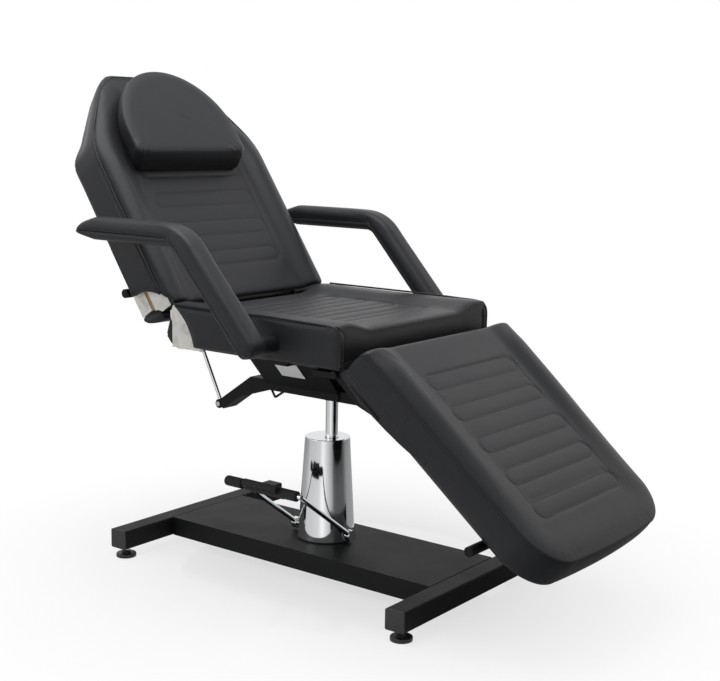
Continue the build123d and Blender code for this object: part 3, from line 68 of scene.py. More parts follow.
class Tilted:
    """The frame of the backrest or the leg rest: x across, w along it, out of its face."""

    def __init__(self, pivot_y, pivot_z, degrees, way, to_face, to_end):
        turn = math.radians(degrees)
        self.along = (way * math.cos(turn), way * math.sin(turn))
        self.out = (-math.sin(turn), math.cos(turn))
        self.start = [p + to_face * o + to_end * a for p, o, a in zip((pivot_y, pivot_z), self.out, self.along)]

    def place(self, x, w, out):
        y, z = (s + w * a + out * o for s, a, o in zip(self.start, self.along, self.out))
        return chair(x, y, z)

    def read(self, point):
        """How far a point in the frame lies along the face and out of it, in millimetres."""
        y = point.y * 1000 - FOOTPRINT_SHIFT - self.start[0]
        z = point.z * 1000 - self.start[1]
        return y * self.along[0] + z * self.along[1], y * self.out[0] + z * self.out[1]


back = Tilted(270, 630, 56, 1, 26.7, 15.8)
leg = Tilted(-248, 556, 40.3, -1, 99.6, 22.5)
print("backrest face starts at", tuple(round(v, 4) for v in back.place(0, 0, 0)))

# %% [markdown]
# ## Camera
# The camera was fitted to the photograph from the feet, the column and the straight edges of the base:
# a normal lens about 2.6 m away, at chest height, looking slightly down.

# %% Camera
CAMERA_AT = Vector((-2.4341, -1.8848, 1.0807))
AZIMUTH, ELEVATION, ROLL = (math.radians(v) for v in (-52.85, 9.33, 1.00))
FOCAL_PIXELS, IMAGE_WIDTH, SENSOR = 1295.8, 720, 36.0

backward = Vector((
    math.sin(AZIMUTH) * math.cos(ELEVATION),
    -math.cos(AZIMUTH) * math.cos(ELEVATION),
    math.sin(ELEVATION),
))
level_right = Vector((math.cos(AZIMUTH), math.sin(AZIMUTH), 0))
level_up = level_right.cross(-backward)
right = level_right * math.cos(ROLL) + level_up * math.sin(ROLL)
up = level_up * math.cos(ROLL) - level_right * math.sin(ROLL)

camera = in_scene("camera", bpy.data.cameras.new("camera"))
camera.data.sensor_width = SENSOR
camera.data.lens = FOCAL_PIXELS * SENSOR / IMAGE_WIDTH
camera.matrix_world = Matrix.Translation(CAMERA_AT) @ Matrix((right, up, backward)).transposed().to_4x4()
bpy.context.scene.camera = camera
bpy.context.scene.view_settings.view_transform = "Standard"
print("lens", round(camera.data.lens, 2), "mm")

# %% [markdown]
# ## Finishes
# Colours are written as sRGB, the way a paint card or a screen gives them, and turned to the linear
# values that light is reckoned in. One small helper adds any node with its settings and links.


# %% Colour and node helpers
def linear(code):
    """An sRGB hex colour as linear RGBA."""
    parts = [int(code[i:i + 2], 16) / 255 for i in (0, 2, 4)]
    return [*(p / 12.92 if p <= 0.04045 else ((p + 0.055) / 1.055) ** 2.4 for p in parts), 1.0]


def add(tree, kind, values=None, links=None, **settings):
    """Adds one node: its own settings, its sockets' values and its sockets' links."""
    node = tree.nodes.new(kind)
    for name, value in settings.items():
        setattr(node, name, value)
    for socket, value in (values or {}).items():
        node.inputs[socket].default_value = value
    for socket, source in (links or {}).items():
        tree.links.new(source, node.inputs[socket])
    return node


def new_finish(name, values):
    """A material with one Principled shader. Gives the material, its tree, the shader and the coordinates."""
    material = bpy.data.materials.new(name)
    material.use_nodes = True
    tree = material.node_tree
    tree.nodes.clear()
    shader = add(tree, "ShaderNodeBsdfPrincipled", values)
    add(tree, "ShaderNodeOutputMaterial", links={"Surface": shader.outputs["BSDF"]})
    place = add(tree, "ShaderNodeTexCoord").outputs["Object"]
    return material, tree, shader, place


def clouds(tree, place, scale, detail, **more):
    """A cloudy pattern, from 0 to 1."""
    return add(tree, "ShaderNodeTexNoise", {"Scale": scale, "Detail": detail, **more}, {"Vector": place}).outputs["Fac"]


def roughen(tree, shader, pattern, strength, distance):
    """Lets a pattern stand out of the surface."""
    bump = add(tree, "ShaderNodeBump", {"Strength": strength, "Distance": distance}, {"Height": pattern})
    tree.links.new(bump.outputs["Normal"], shader.inputs["Normal"])


def dull(tree, shader, pattern, low, high):
    """Lets a pattern drive the roughness between two values."""
    film = add(tree, "ShaderNodeMapRange", {"To Min": low, "To Max": high}, {"Value": pattern})
    tree.links.new(film.outputs["Result"], shader.inputs["Roughness"])


def tint(tree, shader, pattern, *stops):
    """Lets a pattern drive the colour through two (position, sRGB colour) stops."""
    shades = add(tree, "ShaderNodeValToRGB", links={"Fac": pattern})
    for stop, (position, code) in zip(shades.color_ramp.elements, stops):
        stop.position = position
        stop.color = linear(code)
    tree.links.new(shades.outputs["Color"], shader.inputs["Base Color"])


# %% [markdown]
# **PU leather**: polyurethane skin on a knitted back, embossed with a fine pebble grain. Its colour is
# nearly black and hardly varies, so what the eye reads is the sheen, which the grain breaks up. The
# real grain is about 1 mm across. That is under half a pixel here, so it is drawn at 2.2 mm.

# %% Black PU leather
GRAIN = 1 / 0.0022
leather, tree, shader, place = new_finish(
    "black PU leather, pebble grain",
    {"Roughness": 0.4, "IOR": 1.5, "Specular IOR Level": 0.18, "Sheen Weight": 0.03, "Sheen Roughness": 0.5},
)
cloud = clouds(tree, place, 7.0, 3.0)
tint(tree, shader, cloud, (0.0, "1d1e20"), (1.0, "252629"))
dull(tree, shader, cloud, 0.36, 0.48)
pebble = add(tree, "ShaderNodeTexVoronoi", {"Scale": GRAIN}, {"Vector": place})
crease = clouds(tree, place, 60.0, 4.0)
grain = add(tree, "ShaderNodeBump", {"Strength": 0.22, "Distance": 0.0003}, {"Height": pebble.outputs["Distance"]})
soft = add(tree, "ShaderNodeBump", {"Strength": 0.10, "Distance": 0.002},
           {"Height": crease, "Normal": grain.outputs["Normal"]})
tree.links.new(soft.outputs["Normal"], shader.inputs["Normal"])

# %% [markdown]
# **Steel, iron and rubber.** The base and the seat frame are powder coated: matt black with a faint
# orange peel. The pump's shroud, rod and pedal are chrome on polished steel, and the small fasteners
# bright zinc. The casting is painted iron, still rough from the sand.

# %% Powder coat, casting, rubber and plastic
powder, tree, shader, place = new_finish(
    "matt black powder coat on steel", {"Base Color": linear("18191a"), "Roughness": 0.5, "Specular IOR Level": 0.1})
roughen(tree, shader, clouds(tree, place, 900.0, 2.0), 0.12, 0.0004)
dull(tree, shader, clouds(tree, place, 9.0, 5.0), 0.42, 0.58)

iron, tree, shader, place = new_finish(
    "painted sand-cast iron", {"Base Color": linear("232425"), "Roughness": 0.62, "Specular IOR Level": 0.4})
roughen(tree, shader, clouds(tree, place, 700.0, 6.0, Roughness=0.7), 0.5, 0.0008)

rubber, tree, shader, place = new_finish(
    "moulded black rubber", {"Base Color": linear("131313"), "Roughness": 0.7, "Specular IOR Level": 0.3})
bloom = clouds(tree, place, 40.0, 5.0)
tint(tree, shader, bloom, (0.0, "0f0f0f"), (1.0, "1b1b1b"))
roughen(tree, shader, bloom, 0.2, 0.0004)

plastic, tree, shader, place = new_finish(
    "moulded black polypropylene", {"Base Color": linear("121314"), "Roughness": 0.45, "IOR": 1.49})
roughen(tree, shader, clouds(tree, place, 1400.0, 2.0), 0.15, 0.0003)

enamel, tree, shader, place = new_finish(
    "gloss black enamel on steel tube",
    {"Base Color": linear("0b0b0c"), "Roughness": 0.28, "Coat Weight": 0.4, "Coat Roughness": 0.08})
roughen(tree, shader, clouds(tree, place, 120.0, 2.0), 0.04, 0.0005)

# %% Chrome and zinc
chrome, tree, shader, place = new_finish(
    "chrome plate on polished steel", {"Base Color": linear("d6d8da"), "Metallic": 1.0, "Roughness": 0.08})
dull(tree, shader, clouds(tree, place, 14.0, 5.0), 0.04, 0.12)

zinc, tree, shader, place = new_finish(
    "bright zinc plate on steel", {"Base Color": linear("b4b8bb"), "Metallic": 1.0, "Roughness": 0.3})
dull(tree, shader, clouds(tree, place, 350.0, 4.0), 0.22, 0.42)

# %% [markdown]
# The small plate on the pan is bare brushed aluminium: its brush lines run along the plate, a few
# tenths of a millimetre apart, so it looks satin rather than bright.

# %% Brushed aluminium
aluminium, tree, shader, place = new_finish(
    "brushed aluminium sheet", {"Base Color": linear("eceded"), "Metallic": 0.35, "Roughness": 0.45})
stretch = add(tree, "ShaderNodeMapping", {"Scale": (1.0, 0.04, 1.0)}, {"Vector": place})
roughen(tree, shader, clouds(tree, stretch.outputs["Vector"], 2500.0, 2.0), 0.12, 0.0002)

# %% [markdown]
# ** Plywood and lining.** The boards are poplar plywood, thin veneers laid crosswise, so an edge shows
# stripes about 1.6 mm apart. The foam behind the leather at the hinge is wrapped in a pale
# non-woven lining, which creases like paper; its colour is painted darker in the creases, as painted shade.


# %% Plywood and pale lining
def plywood(name, tilt_degrees):
    """Plywood whose layers lie square to a board that is tilted about X."""
    material, tree, shader, place = new_finish(name, {"Roughness": 0.68, "Specular IOR Level": 0.3})
    turned = add(tree, "ShaderNodeMapping", {"Rotation": (math.radians(-tilt_degrees), 0, 0)}, {"Vector": place})
    split = add(tree, "ShaderNodeSeparateXYZ", links={"Vector": turned.outputs["Vector"]})
    layer = add(tree, "ShaderNodeMath", {1: math.tau / (2 * VENEER)}, {0: split.outputs["Z"]}, operation="MULTIPLY")
    wave = add(tree, "ShaderNodeMath", links={0: layer.outputs[0]}, operation="SINE")
    long = add(tree, "ShaderNodeMapping", {"Scale": (1.0, 0.06, 1.0)}, {"Vector": turned.outputs["Vector"]})
    fibre = clouds(tree, long.outputs["Vector"], 260.0, 6.0)
    mixed = add(tree, "ShaderNodeMath", {1: 0.16}, {0: wave.outputs[0]}, operation="MULTIPLY")
    total = add(tree, "ShaderNodeMath", links={0: mixed.outputs[0], 1: fibre}, operation="ADD")
    tint(tree, shader, total.outputs[0], (0.25, "8a6a48"), (0.75, "c3a27a"))
    roughen(tree, shader, fibre, 0.2, 0.0005)
    return material


VENEER = 0.0016
back_plywood = plywood("poplar plywood, backrest", 56)

lining, tree, shader, place = new_finish(
    "pale non-woven lining", {"Roughness": 0.8, "Specular IOR Level": 0.3})
fold = clouds(tree, place, 36.0, 5.0, Distortion=0.5)
# The fold pattern that bumps the lining also darkens its colour where it dips: painted shade in the creases.
tint(tree, shader, fold, (0.3, "cfccc6"), (0.5, "eae8e3"))
roughen(tree, shader, fold, 0.6, 0.005)
print("finishes", len(bpy.data.materials))

# %% [markdown]
# ## Upholstery
# A seat pad is one sheet of leather pulled over foam. It can be carved from a block, but a grid that
# follows the pad's outline keeps every seam on a row of vertices, so that the stitching lines can be
# held while the rest swells. The helpers below lay such a grid, drop its edge down to a wall, and
# close it underneath.


# %% Mesh helpers
def smooth_step(low, high, value):
    """0 below low, 1 above high, and a soft rise between."""
    t = min(1.0, max(0.0, (value - low) / (high - low)))
    return t * t * (3 - 2 * t)


def new_piece(name, points, faces, finish):
    """A closed mesh object with outward normals, smooth shading and one finish."""
    mesh = bpy.data.meshes.new(name)
    mesh.from_pydata([tuple(p) for p in points], [], faces)
    tidy = bmesh.new()
    tidy.from_mesh(mesh)
    bmesh.ops.recalc_face_normals(tidy, faces=tidy.faces)
    tidy.to_mesh(mesh)
    tidy.free()
    mesh.shade_smooth()
    mesh.materials.append(finish)
    print(name, len(faces), "faces")
    return in_scene(name, mesh)


def frozen(piece):
    """Turns what the modifiers make into the piece's own mesh."""
    seen = piece.evaluated_get(bpy.context.evaluated_depsgraph_get())
    mesh = bpy.data.meshes.new_from_object(seen)
    piece.modifiers.clear()
    piece.data = mesh


def border_of(across, along):
    """Indices round the edge of a grid, in order."""
    edge = list(range(across))
    edge += [j * across + across - 1 for j in range(1, along)]
    edge += [(along - 1) * across + i for i in range(across - 2, -1, -1)]
    return edge + [j * across for j in range(along - 2, 0, -1)]


def tube_faces(rings, count):
    """Faces of a closed tube: rings of as many points each, and a cap at both ends."""
    faces = []
    for k in range(rings - 1):
        for i in range(count):
            n = (i + 1) % count
            faces.append((k * count + i, k * count + n, (k + 1) * count + n, (k + 1) * count + i))
    return faces + [tuple(range(count)), tuple(range((rings - 1) * count, rings * count))]


def outline_of(half, start, end, corner, bow=0.0):
    """Plan of a pad: s runs from -1 to 1 across it, w along it. Its far corners are round."""

    def plan(s, w):
        wide = half(w)
        x = abs(s) * wide
        a = (x - (wide - corner)) / corner
        b = (w - (end - corner)) / corner
        if a > 0 and b > 0:
            x = wide - corner + corner * a * math.sqrt(1 - b * b / 2)
            w = end - corner + corner * b * math.sqrt(1 - a * a / 2)
        w += bow * (1 - (x / wide) ** 2) * smooth_step(start, end, w) ** 4
        return math.copysign(x, s), w

    def depth(x, w):
        """How far inside the outline a point lies, away from the start."""
        wide = half(w)
        reach = end + bow * (1 - (x / wide) ** 2)
        in_x, in_w = wide - abs(x), reach - w
        if in_x < corner and in_w < corner:
            return corner - math.hypot(corner - in_x, corner - in_w)
        return min(in_x, in_w)

    return plan, depth


def drop(depth):
    """A ring of a wall that lies this far below the rim."""
    return lambda top: top - depth


def at_level(level):
    """A ring of a wall at one level."""
    return lambda top: level


def towards(share, level):
    """A ring of a wall part of the way down to a level."""
    return lambda top: top + share * (level - top)


def pad(name, plan, height, columns, rows, wall, place, finish):
    """A pad from its plan, the height of its top, and the rings of its wall as (inset, level).

    An inset may be a pair: how far the wall comes in across the pad and along it."""
    flat = [[plan(s, w) for s in columns] for w in rows]
    points = [(x, w, height(x, w)) for line in flat for x, w in line]
    across, along = len(columns), len(rows)
    faces = [
        (j * across + i, j * across + i + 1, (j + 1) * across + i + 1, (j + 1) * across + i)
        for j in range(along - 1) for i in range(across - 1)
    ]
    edge = border_of(across, along)
    count = len(edge)
    rim = np.array([points[i] for i in edge])
    tangent = np.roll(rim[:, :2], -1, 0) - np.roll(rim[:, :2], 1, 0)
    normal = np.stack([tangent[:, 1], -tangent[:, 0]], 1)
    normal /= np.maximum(np.linalg.norm(normal, axis=1, keepdims=True), 1e-9)
    square = np.clip(normal * 1.42, -1, 1)
    last = edge
    rings = [edge]
    for inset, level in wall:
        first = len(points)
        if isinstance(inset, tuple):
            step = square * inset
        else:
            step = normal * inset
        for i in range(count):
            x, w = rim[i, :2] - step[i]
            points.append((x, w, level(rim[i, 2])))
        ring = list(range(first, first + count))
        faces += [(last[i], last[(i + 1) % count], ring[(i + 1) % count], ring[i]) for i in range(count)]
        last = ring
        rings.append(ring)
    faces.append(tuple(last))
    return new_piece(name, [place(*p) for p in points], faces, finish), rings


PRESSURE, QUALITY, FRAMES = 8.0, 3, 9


def puff(piece, held, cap):
    """Lets air pressure swell the cover between the vertices that are held, and caps how far."""
    count = len(piece.data.vertices)
    before = np.empty(count * 3)
    piece.data.vertices.foreach_get("co", before)
    pins = piece.vertex_groups.new(name="held")
    for index, weight in held.items():
        pins.add([index], weight, "REPLACE")
    cloth = piece.modifiers.new("cover", "CLOTH")
    cloth.settings.quality = QUALITY
    cloth.settings.use_pressure = True
    cloth.settings.uniform_pressure_force = PRESSURE
    cloth.settings.effector_weights.gravity = 0
    if held:
        cloth.settings.vertex_group_mass = "held"
    scene = bpy.context.scene
    began = time.time()
    for step in range(1, FRAMES + 1):
        scene.frame_set(step)
    print("simulated in", round(time.time() - began, 1), "s")
    seen = piece.evaluated_get(bpy.context.evaluated_depsgraph_get())
    after = np.empty(count * 3)
    seen.data.vertices.foreach_get("co", after)
    piece.modifiers.clear()
    piece.vertex_groups.clear()
    scene.frame_set(1)
    move = (after - before).reshape(-1, 3)
    far = np.linalg.norm(move, axis=1)
    limit = cap / 1000
    scale = np.where(far > 1e-9, limit * np.tanh(far / limit) / np.maximum(far, 1e-9), 0)
    piece.data.vertices.foreach_set("co", (before.reshape(-1, 3) + move * scale[:, None]).ravel())
    piece.data.update()
    print(piece.name, "swells by up to", round(1000 * float(far.max()), 1), "mm, capped at", cap)


# %% [markdown]
# The ribs are pill-shaped lines of stitching through the cover into the foam. Their groove is a soft
# dip along the line. This function measures how far a point is from the nearest line.


# %% Sewn ribs
RIB_HALF, RIB_ROUND, RIB_MARGIN = 178.0, 21.0, 26
GROOVE_DEPTH, GROOVE_WIDTH = 1.1, 2.2
ROLL_TOP = 41.0


def rib_line_distance(x, w, centres):
    """Distance in the face from the nearest rib's stitching."""
    best = 1e9
    for centre in centres:
        run = max(0.0, abs(x) - (RIB_HALF - RIB_ROUND))
        best = min(best, abs(math.hypot(run, w - centre) - RIB_ROUND))
    return best


def groove(x, w, centres):
    """Depth of the sewn groove at a point."""
    return -GROOVE_DEPTH * math.exp(-(rib_line_distance(x, w, centres) / GROOVE_WIDTH) ** 2)


def rib_outline(centre, steps=14):
    """Points of one rib's stitching, in order round it."""
    line = []
    for side, turn in ((1, -math.pi / 2), (-1, math.pi / 2)):
        for i in range(steps + 1):
            a = turn + math.pi * i / steps
            line.append((side * (RIB_HALF - RIB_ROUND) + RIB_ROUND * math.cos(a), centre + RIB_ROUND * math.sin(a)))
    return line


def spread(*runs):
    """Grid lines from (from, to, step) runs, each run shared out evenly."""
    lines = []
    for low, high, step in runs:
        count = max(1, round((high - low) / step))
        lines += [low + (high - low) * i / count for i in range(count)]
    return lines + [runs[-1][1]]


def rib_rows(centres, start, end):
    """Rows that are close together where the ribs are."""
    runs, at = [], start
    for centre in centres:
        low, high = centre - RIB_MARGIN, centre + RIB_MARGIN
        runs += [(at, low, 9), (low, high, 2.6)]
        at = high
    runs.append((at, end, 9))
    return spread(*runs)


def roll(depth, crown, shoulder, wide=97.0, top=ROLL_TOP):
    """Height of the raised roll along a side, by the distance from the edge."""
    if depth >= wide:
        return 0.0
    if depth >= top:
        return crown * smooth_step(0, 1, (wide - depth) / (wide - top))
    q = (top - max(depth, 0.0)) / top
    return crown + (shoulder - crown) * (1 - math.sqrt(max(0.0, 1 - q * q)))


def opening(start, radius, step=10):
    """Grid lines that open up from the end of a pad, where it is round."""
    return [start + radius * (1 - math.cos(math.radians(a))) for a in range(0, 90, step)]


def closing(end, radius, step=10):
    """Grid lines that close up towards a round edge."""
    return [end - radius + radius * math.sin(math.radians(a)) for a in range(step, 91, step)]


def side_columns(half):
    """Columns from the middle out: wide on the flat, fine at the rib ends, closing up at the rim."""
    flat = spread((0, 152, 15), (152, 184, 2.6), (184, half - ROLL_TOP, 6))
    right_side = [v / half for v in flat + closing(half, ROLL_TOP)]
    return [-v for v in reversed(right_side[1:])] + right_side


# %% [markdown]
# The side panels have a round notch at the backrest's hinge, 300 mm across. Inside it the covers end
# flush with the lining, so their rim is drawn in there.

# %% The notch
NOTCH_Y, NOTCH_Z, NOTCH_W, NOTCH_OUT, NOTCH_RADIUS = 311.9, 535.9, -70.4, -114.0, 150.0
LINING_X = 278.6


def seat_notch(z):
    """How far back the seat's side panel reaches at a height."""
    return NOTCH_Y - math.sqrt(NOTCH_RADIUS**2 - (z - NOTCH_Z) ** 2)


def back_notch(out):
    """Where the backrest's side band starts, at a depth below its face."""
    return NOTCH_W + math.sqrt(NOTCH_RADIUS**2 - (out - NOTCH_OUT) ** 2)


def draw_in(piece, inside):
    """Draws a cover's rim in to the lining, inside the notch."""
    for v in piece.data.vertices:
        if abs(v.co.x) * 1000 > LINING_X and inside(v.co):
            v.co.x = math.copysign(LINING_X / 1000, v.co.x)


# %% [markdown]
# ### Leg rest
# A long pad with a roll down each side that dies away towards the foot, five sewn ribs, round
# corners at the foot, and a cover that wraps over the hinge end.

# %% Leg rest
LEG_RIBS = [115 + 89 * i for i in range(5)]
LEG_START, LEG_LONG, LEG_BOW, LEG_CORNER, LEG_NOSE = -4.0, 590.0, 12.0, 92.0, 14.0
LEG_HALF, LEG_FOOT_HALF, LEG_UNDER = 287, 268, -84


def leg_half(w):
    return LEG_HALF + (LEG_FOOT_HALF - LEG_HALF) * w / LEG_LONG


leg_plan, leg_depth = outline_of(leg_half, 0.0, LEG_LONG, LEG_CORNER, LEG_BOW)


def nose(w, radius):
    """How far a cover has dropped as it wraps over the end at w = 0."""
    return 0.0 if w >= radius else radius - math.sqrt(max(0.0, radius**2 - (radius - w) ** 2))


def leg_height(x, w):
    crown = 2 + 12 * (1 - smooth_step(150, 560, w))
    crown *= 0.5 + 0.5 * smooth_step(0, 80, w)
    shoulder = -5 + 3 * smooth_step(250, 560, w)
    return roll(leg_depth(x, w), crown, shoulder) + groove(x, w, LEG_RIBS) - nose(w - LEG_START, LEG_NOSE)


leg_columns = side_columns(277)
leg_rows = opening(LEG_START, LEG_NOSE) + rib_rows(LEG_RIBS, LEG_START + LEG_NOSE, LEG_LONG - ROLL_TOP)
leg_rows += closing(LEG_LONG, ROLL_TOP)
leg_wall = [
    (1.8, drop(2.5)), (1.2, drop(4.5)), (-0.8, drop(8)), (-2.4, drop(14)),
    (-3.2, towards(0.35, LEG_UNDER)), (-2.8, towards(0.6, LEG_UNDER)), (-1.6, towards(0.85, LEG_UNDER)),
    (0.8, at_level(-82.6)), (3.5, at_level(LEG_UNDER)), (21.7, at_level(LEG_UNDER)), (21.7, at_level(-71.8)),
]
leg_cushion, leg_rings = pad(
    "leg_rest_cover", leg_plan, leg_height, leg_columns, leg_rows, leg_wall, leg.place, leather)


# %% Swell the leg rest between its seams
def seam_pins(rings, held_rings, columns, rows, plan, centres):
    """Vertices that stitching or the board holds: whole rings, and the sewn lines of the ribs."""
    held = {index: 1.0 for k in held_rings for index in rings[k]}
    across = len(columns)
    for j, w in enumerate(rows):
        for i, s in enumerate(columns):
            x, at = plan(s, w)
            if rib_line_distance(x, at, centres) < GROOVE_WIDTH:
                held[j * across + i] = 1.0
    return held


LAST = len(leg_rings) - 1
pins = seam_pins(leg_rings, (0, 1, 2, LAST - 3, LAST - 2, LAST - 1, LAST), leg_columns, leg_rows, leg_plan, LEG_RIBS)
puff(leg_cushion, pins, cap=1.2)

# %% [markdown]
# ### Seat
# The same make: rolls at both sides, four ribs, and a front that wraps down without a seam. Its sides
# are boxed by the side panels, with piping between.

# %% Seat
SEAT_FRONT, SEAT_REAR, SEAT_HALF, SEAT_NOSE, SEAT_TAIL = -262.0, 252.0, 291.0, 8.0, 16.0
SEAT_FACE, SEAT_SEAM, SEAT_UNDER = 647, 590, 561
SEAT_END = chair(0, 250, 0).y
REAR_BULGE = 0.017
POST_X = 188
SEAT_RIBS = [-12 + 89 * (i - 1.5) - SEAT_FRONT for i in range(4)]
SEAT_LONG = SEAT_REAR - SEAT_FRONT
seat_plan, _ = outline_of(lambda w: SEAT_HALF, 0.0, SEAT_LONG, 1.0)


def seat_place(x, w, out):
    return chair(x, SEAT_FRONT + w, out)


def seat_height(x, w):
    lift = roll(SEAT_HALF - abs(x), 18, 14, wide=125.0, top=34.0)
    return SEAT_FACE + lift + groove(x, w, SEAT_RIBS) - nose(w, SEAT_NOSE) - nose(SEAT_LONG - w, SEAT_TAIL)


seat_columns = side_columns(SEAT_HALF)
seat_rows = opening(0.0, SEAT_NOSE) + rib_rows(SEAT_RIBS, SEAT_NOSE, SEAT_LONG - SEAT_TAIL)
seat_rows += closing(SEAT_LONG, SEAT_TAIL, 15)
seat_wall = [
    ((3.0, 0.0), drop(3)), ((12.4, 0.0), towards(0.2, SEAT_SEAM)), ((12.4, -1.0), towards(0.6, SEAT_SEAM)),
    ((12.4, -1.5), at_level(SEAT_SEAM)), ((12.6, 0.6), at_level(586)), ((12.4, -0.8), at_level(582)),
    ((12.4, 0.0), at_level(569)), ((13.0, 1.5), at_level(563)), ((15.5, 4.0), at_level(SEAT_UNDER)),
    ((23.5, 11.5), at_level(SEAT_UNDER)), ((23.5, 11.5), at_level(575.5)),
]
seat_cushion, seat_rings = pad(
    "seat_cover", seat_plan, seat_height, seat_columns, seat_rows, seat_wall, seat_place, leather)
pins = seam_pins(seat_rings, (5, 8, 9, 10, 11), seat_columns, seat_rows, seat_plan, SEAT_RIBS)
for ring in seat_rings:
    for i in ring:
        at = seat_cushion.data.vertices[i].co
        if abs(at.x) > 0.277 or at.y > SEAT_END:
            pins[i] = 1.0
puff(seat_cushion, pins, cap=1.8)

# The rear end swells over the board's edge, but not where the hinge posts stand.
for ring in seat_rings:
    for i in ring:
        at = seat_cushion.data.vertices[i].co
        if at.y > SEAT_END:
            z = at.z * 1000
            free = smooth_step(12, 24, abs(abs(at.x * 1000) - POST_X))
            at.y += REAR_BULGE * free * smooth_step(560, 582, z) * (1 - 0.8 * smooth_step(588, 640, z))
draw_in(seat_cushion, lambda p: p.z < 0.68 and p.y > chair(0, seat_notch(min(1000 * p.z, 670)) + 2, 0).y)

# %% [markdown]
# ### Backrest
# Wide at the seat, with round shoulders and a narrow head. The roll follows the outline as far as the
# shoulders. Its cover ends at the piping along the front edge of the side bands.

# %% Backrest
BACK_LONG, BACK_HALF, BACK_NOSE, BACK_UNDER = 652.0, 293.0, 10.0, -50.8
BACK_SHOULDER, SHOULDER_ROUND = 452.0, 160
HEAD_HALF, HEAD_CORNER, HEAD_END = 155.0, 45.0, 655.0
BACK_RIBS = [112 + 87 * i for i in range(5)]


def back_half(w):
    """Half width of the front face: straight sides, a round shoulder and a slope to the head."""
    slope = (BACK_HALF - HEAD_HALF) / (HEAD_END - BACK_SHOULDER)
    bend = SHOULDER_ROUND * math.tan(0.5 * math.atan(slope))
    if w <= BACK_SHOULDER - bend:
        return BACK_HALF
    if w >= BACK_SHOULDER + bend:
        return BACK_HALF - slope * (w - BACK_SHOULDER)
    t = (w - (BACK_SHOULDER - bend)) / (2 * bend)
    return BACK_HALF - slope * bend * t * t


back_plan, back_depth = outline_of(back_half, 0.0, BACK_LONG, HEAD_CORNER)


def back_height(x, w):
    crown = 3 + 17 * (1 - smooth_step(360, 600, w))
    return roll(back_depth(x, w), crown, -3, wide=93.0) + groove(x, w, BACK_RIBS) - nose(w, BACK_NOSE)


back_columns = side_columns(BACK_HALF)
back_rows = opening(0.0, BACK_NOSE, 15) + rib_rows(BACK_RIBS, BACK_NOSE, BACK_LONG - ROLL_TOP)
back_rows += closing(BACK_LONG, ROLL_TOP)
back_wall = [
    ((2.0, 0.0), drop(3)), ((14.0, 0.0), drop(6)), ((14.0, 1.0), towards(0.5, BACK_UNDER)),
    ((14.0, 3.0), at_level(-49)), ((16.0, 5.0), at_level(BACK_UNDER)),
]
back_cushion, back_rings = pad(
    "backrest_cover", back_plan, back_height, back_columns, back_rows, back_wall, back.place, leather)
pins = seam_pins(back_rings, (0, 1, 2, 3, 4, 5), back_columns, back_rows, back_plan, BACK_RIBS)
puff(back_cushion, pins, cap=1.2)
draw_in(back_cushion, lambda p: back.read(p)[0] < back_notch(min(20.0, back.read(p)[1])) - 1)

# %% [markdown]
# ### Side panels, rear pad and arms
# These are plain padded shapes, so their solids are the best start: each is remeshed into small even
# cells, which rounds its corners, and is then swollen a little by the same cloth simulation.


# %% Remesh and swell a plain pad
def soft_copy(node, name, voxel, cap, smoothing, held=None):
    """An even mesh of a solid with its edges rounded, swollen between what is held."""
    copy = in_scene(name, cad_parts[node].data.copy())
    welded = bmesh.new()
    welded.from_mesh(copy.data)
    bmesh.ops.remove_doubles(welded, verts=welded.verts, dist=1e-5)
    welded.to_mesh(copy.data)
    welded.free()
    cells = copy.modifiers.new("cells", "REMESH")
    cells.mode = "VOXEL"
    cells.voxel_size = voxel / 1000
    ease = copy.modifiers.new("ease", "SMOOTH")
    ease.factor = 0.5
    ease.iterations = smoothing
    frozen(copy)
    chosen = {}
    if held:
        chosen = {v.index: 1.0 for v in copy.data.vertices if held(v.co * 1000)}
    puff(copy, chosen, cap)
    copy.data.materials.clear()
    copy.data.materials.append(leather)
    copy.data.shade_smooth()
    print(name, len(copy.data.polygons), "faces")
    return copy


SIDES = (("left", 1), ("right", -1))
seat_sides = {}
for side, sign in SIDES:
    seat_sides[side] = soft_copy(
        f"seat_side_panel_{side}", f"seat_side_{side}", 3.0, 2.5, 4, lambda p: abs(p.x) < 284)

# The covers are cut a little fuller than the solids, so their notch stands further back.
NOTCH_SHIFT = 0.015
for piece in seat_sides.values():
    for v in piece.data.vertices:
        v.co.y += NOTCH_SHIFT * smooth_step(60, 150, v.co.y * 1000 - FOOTPRINT_SHIFT)


# %% Side bands and rear pad of the backrest
def thinner_head(piece):
    """Thins the backrest's head towards its end, more than the solid does."""
    for v in piece.data.vertices:
        w, out = back.read(v.co)
        v.co = back.place(v.co.x * 1000, w, out * (1 - 0.4 * smooth_step(600, HEAD_END, w)))


back_sides = {}
for side, sign in SIDES:
    band = soft_copy(
        f"back_side_panel_{side}", f"backrest_side_{side}", 3.5, 2.5, 4, lambda p: abs(p.x) < 150)
    for v in band.data.vertices:
        w, out = back.read(v.co)
        hollow = smooth_step(440, 500, w)
        if sign * v.co.x > 0.06:
            v.co.x -= sign * (0.003 + 0.013 * smooth_step(20, 70, -out)) * hollow
    thinner_head(band)
    back_sides[side] = band
rear_pad = soft_copy("back_rear_pad", "backrest_rear_cover", 4.5, 6, 5)
thinner_head(rear_pad)

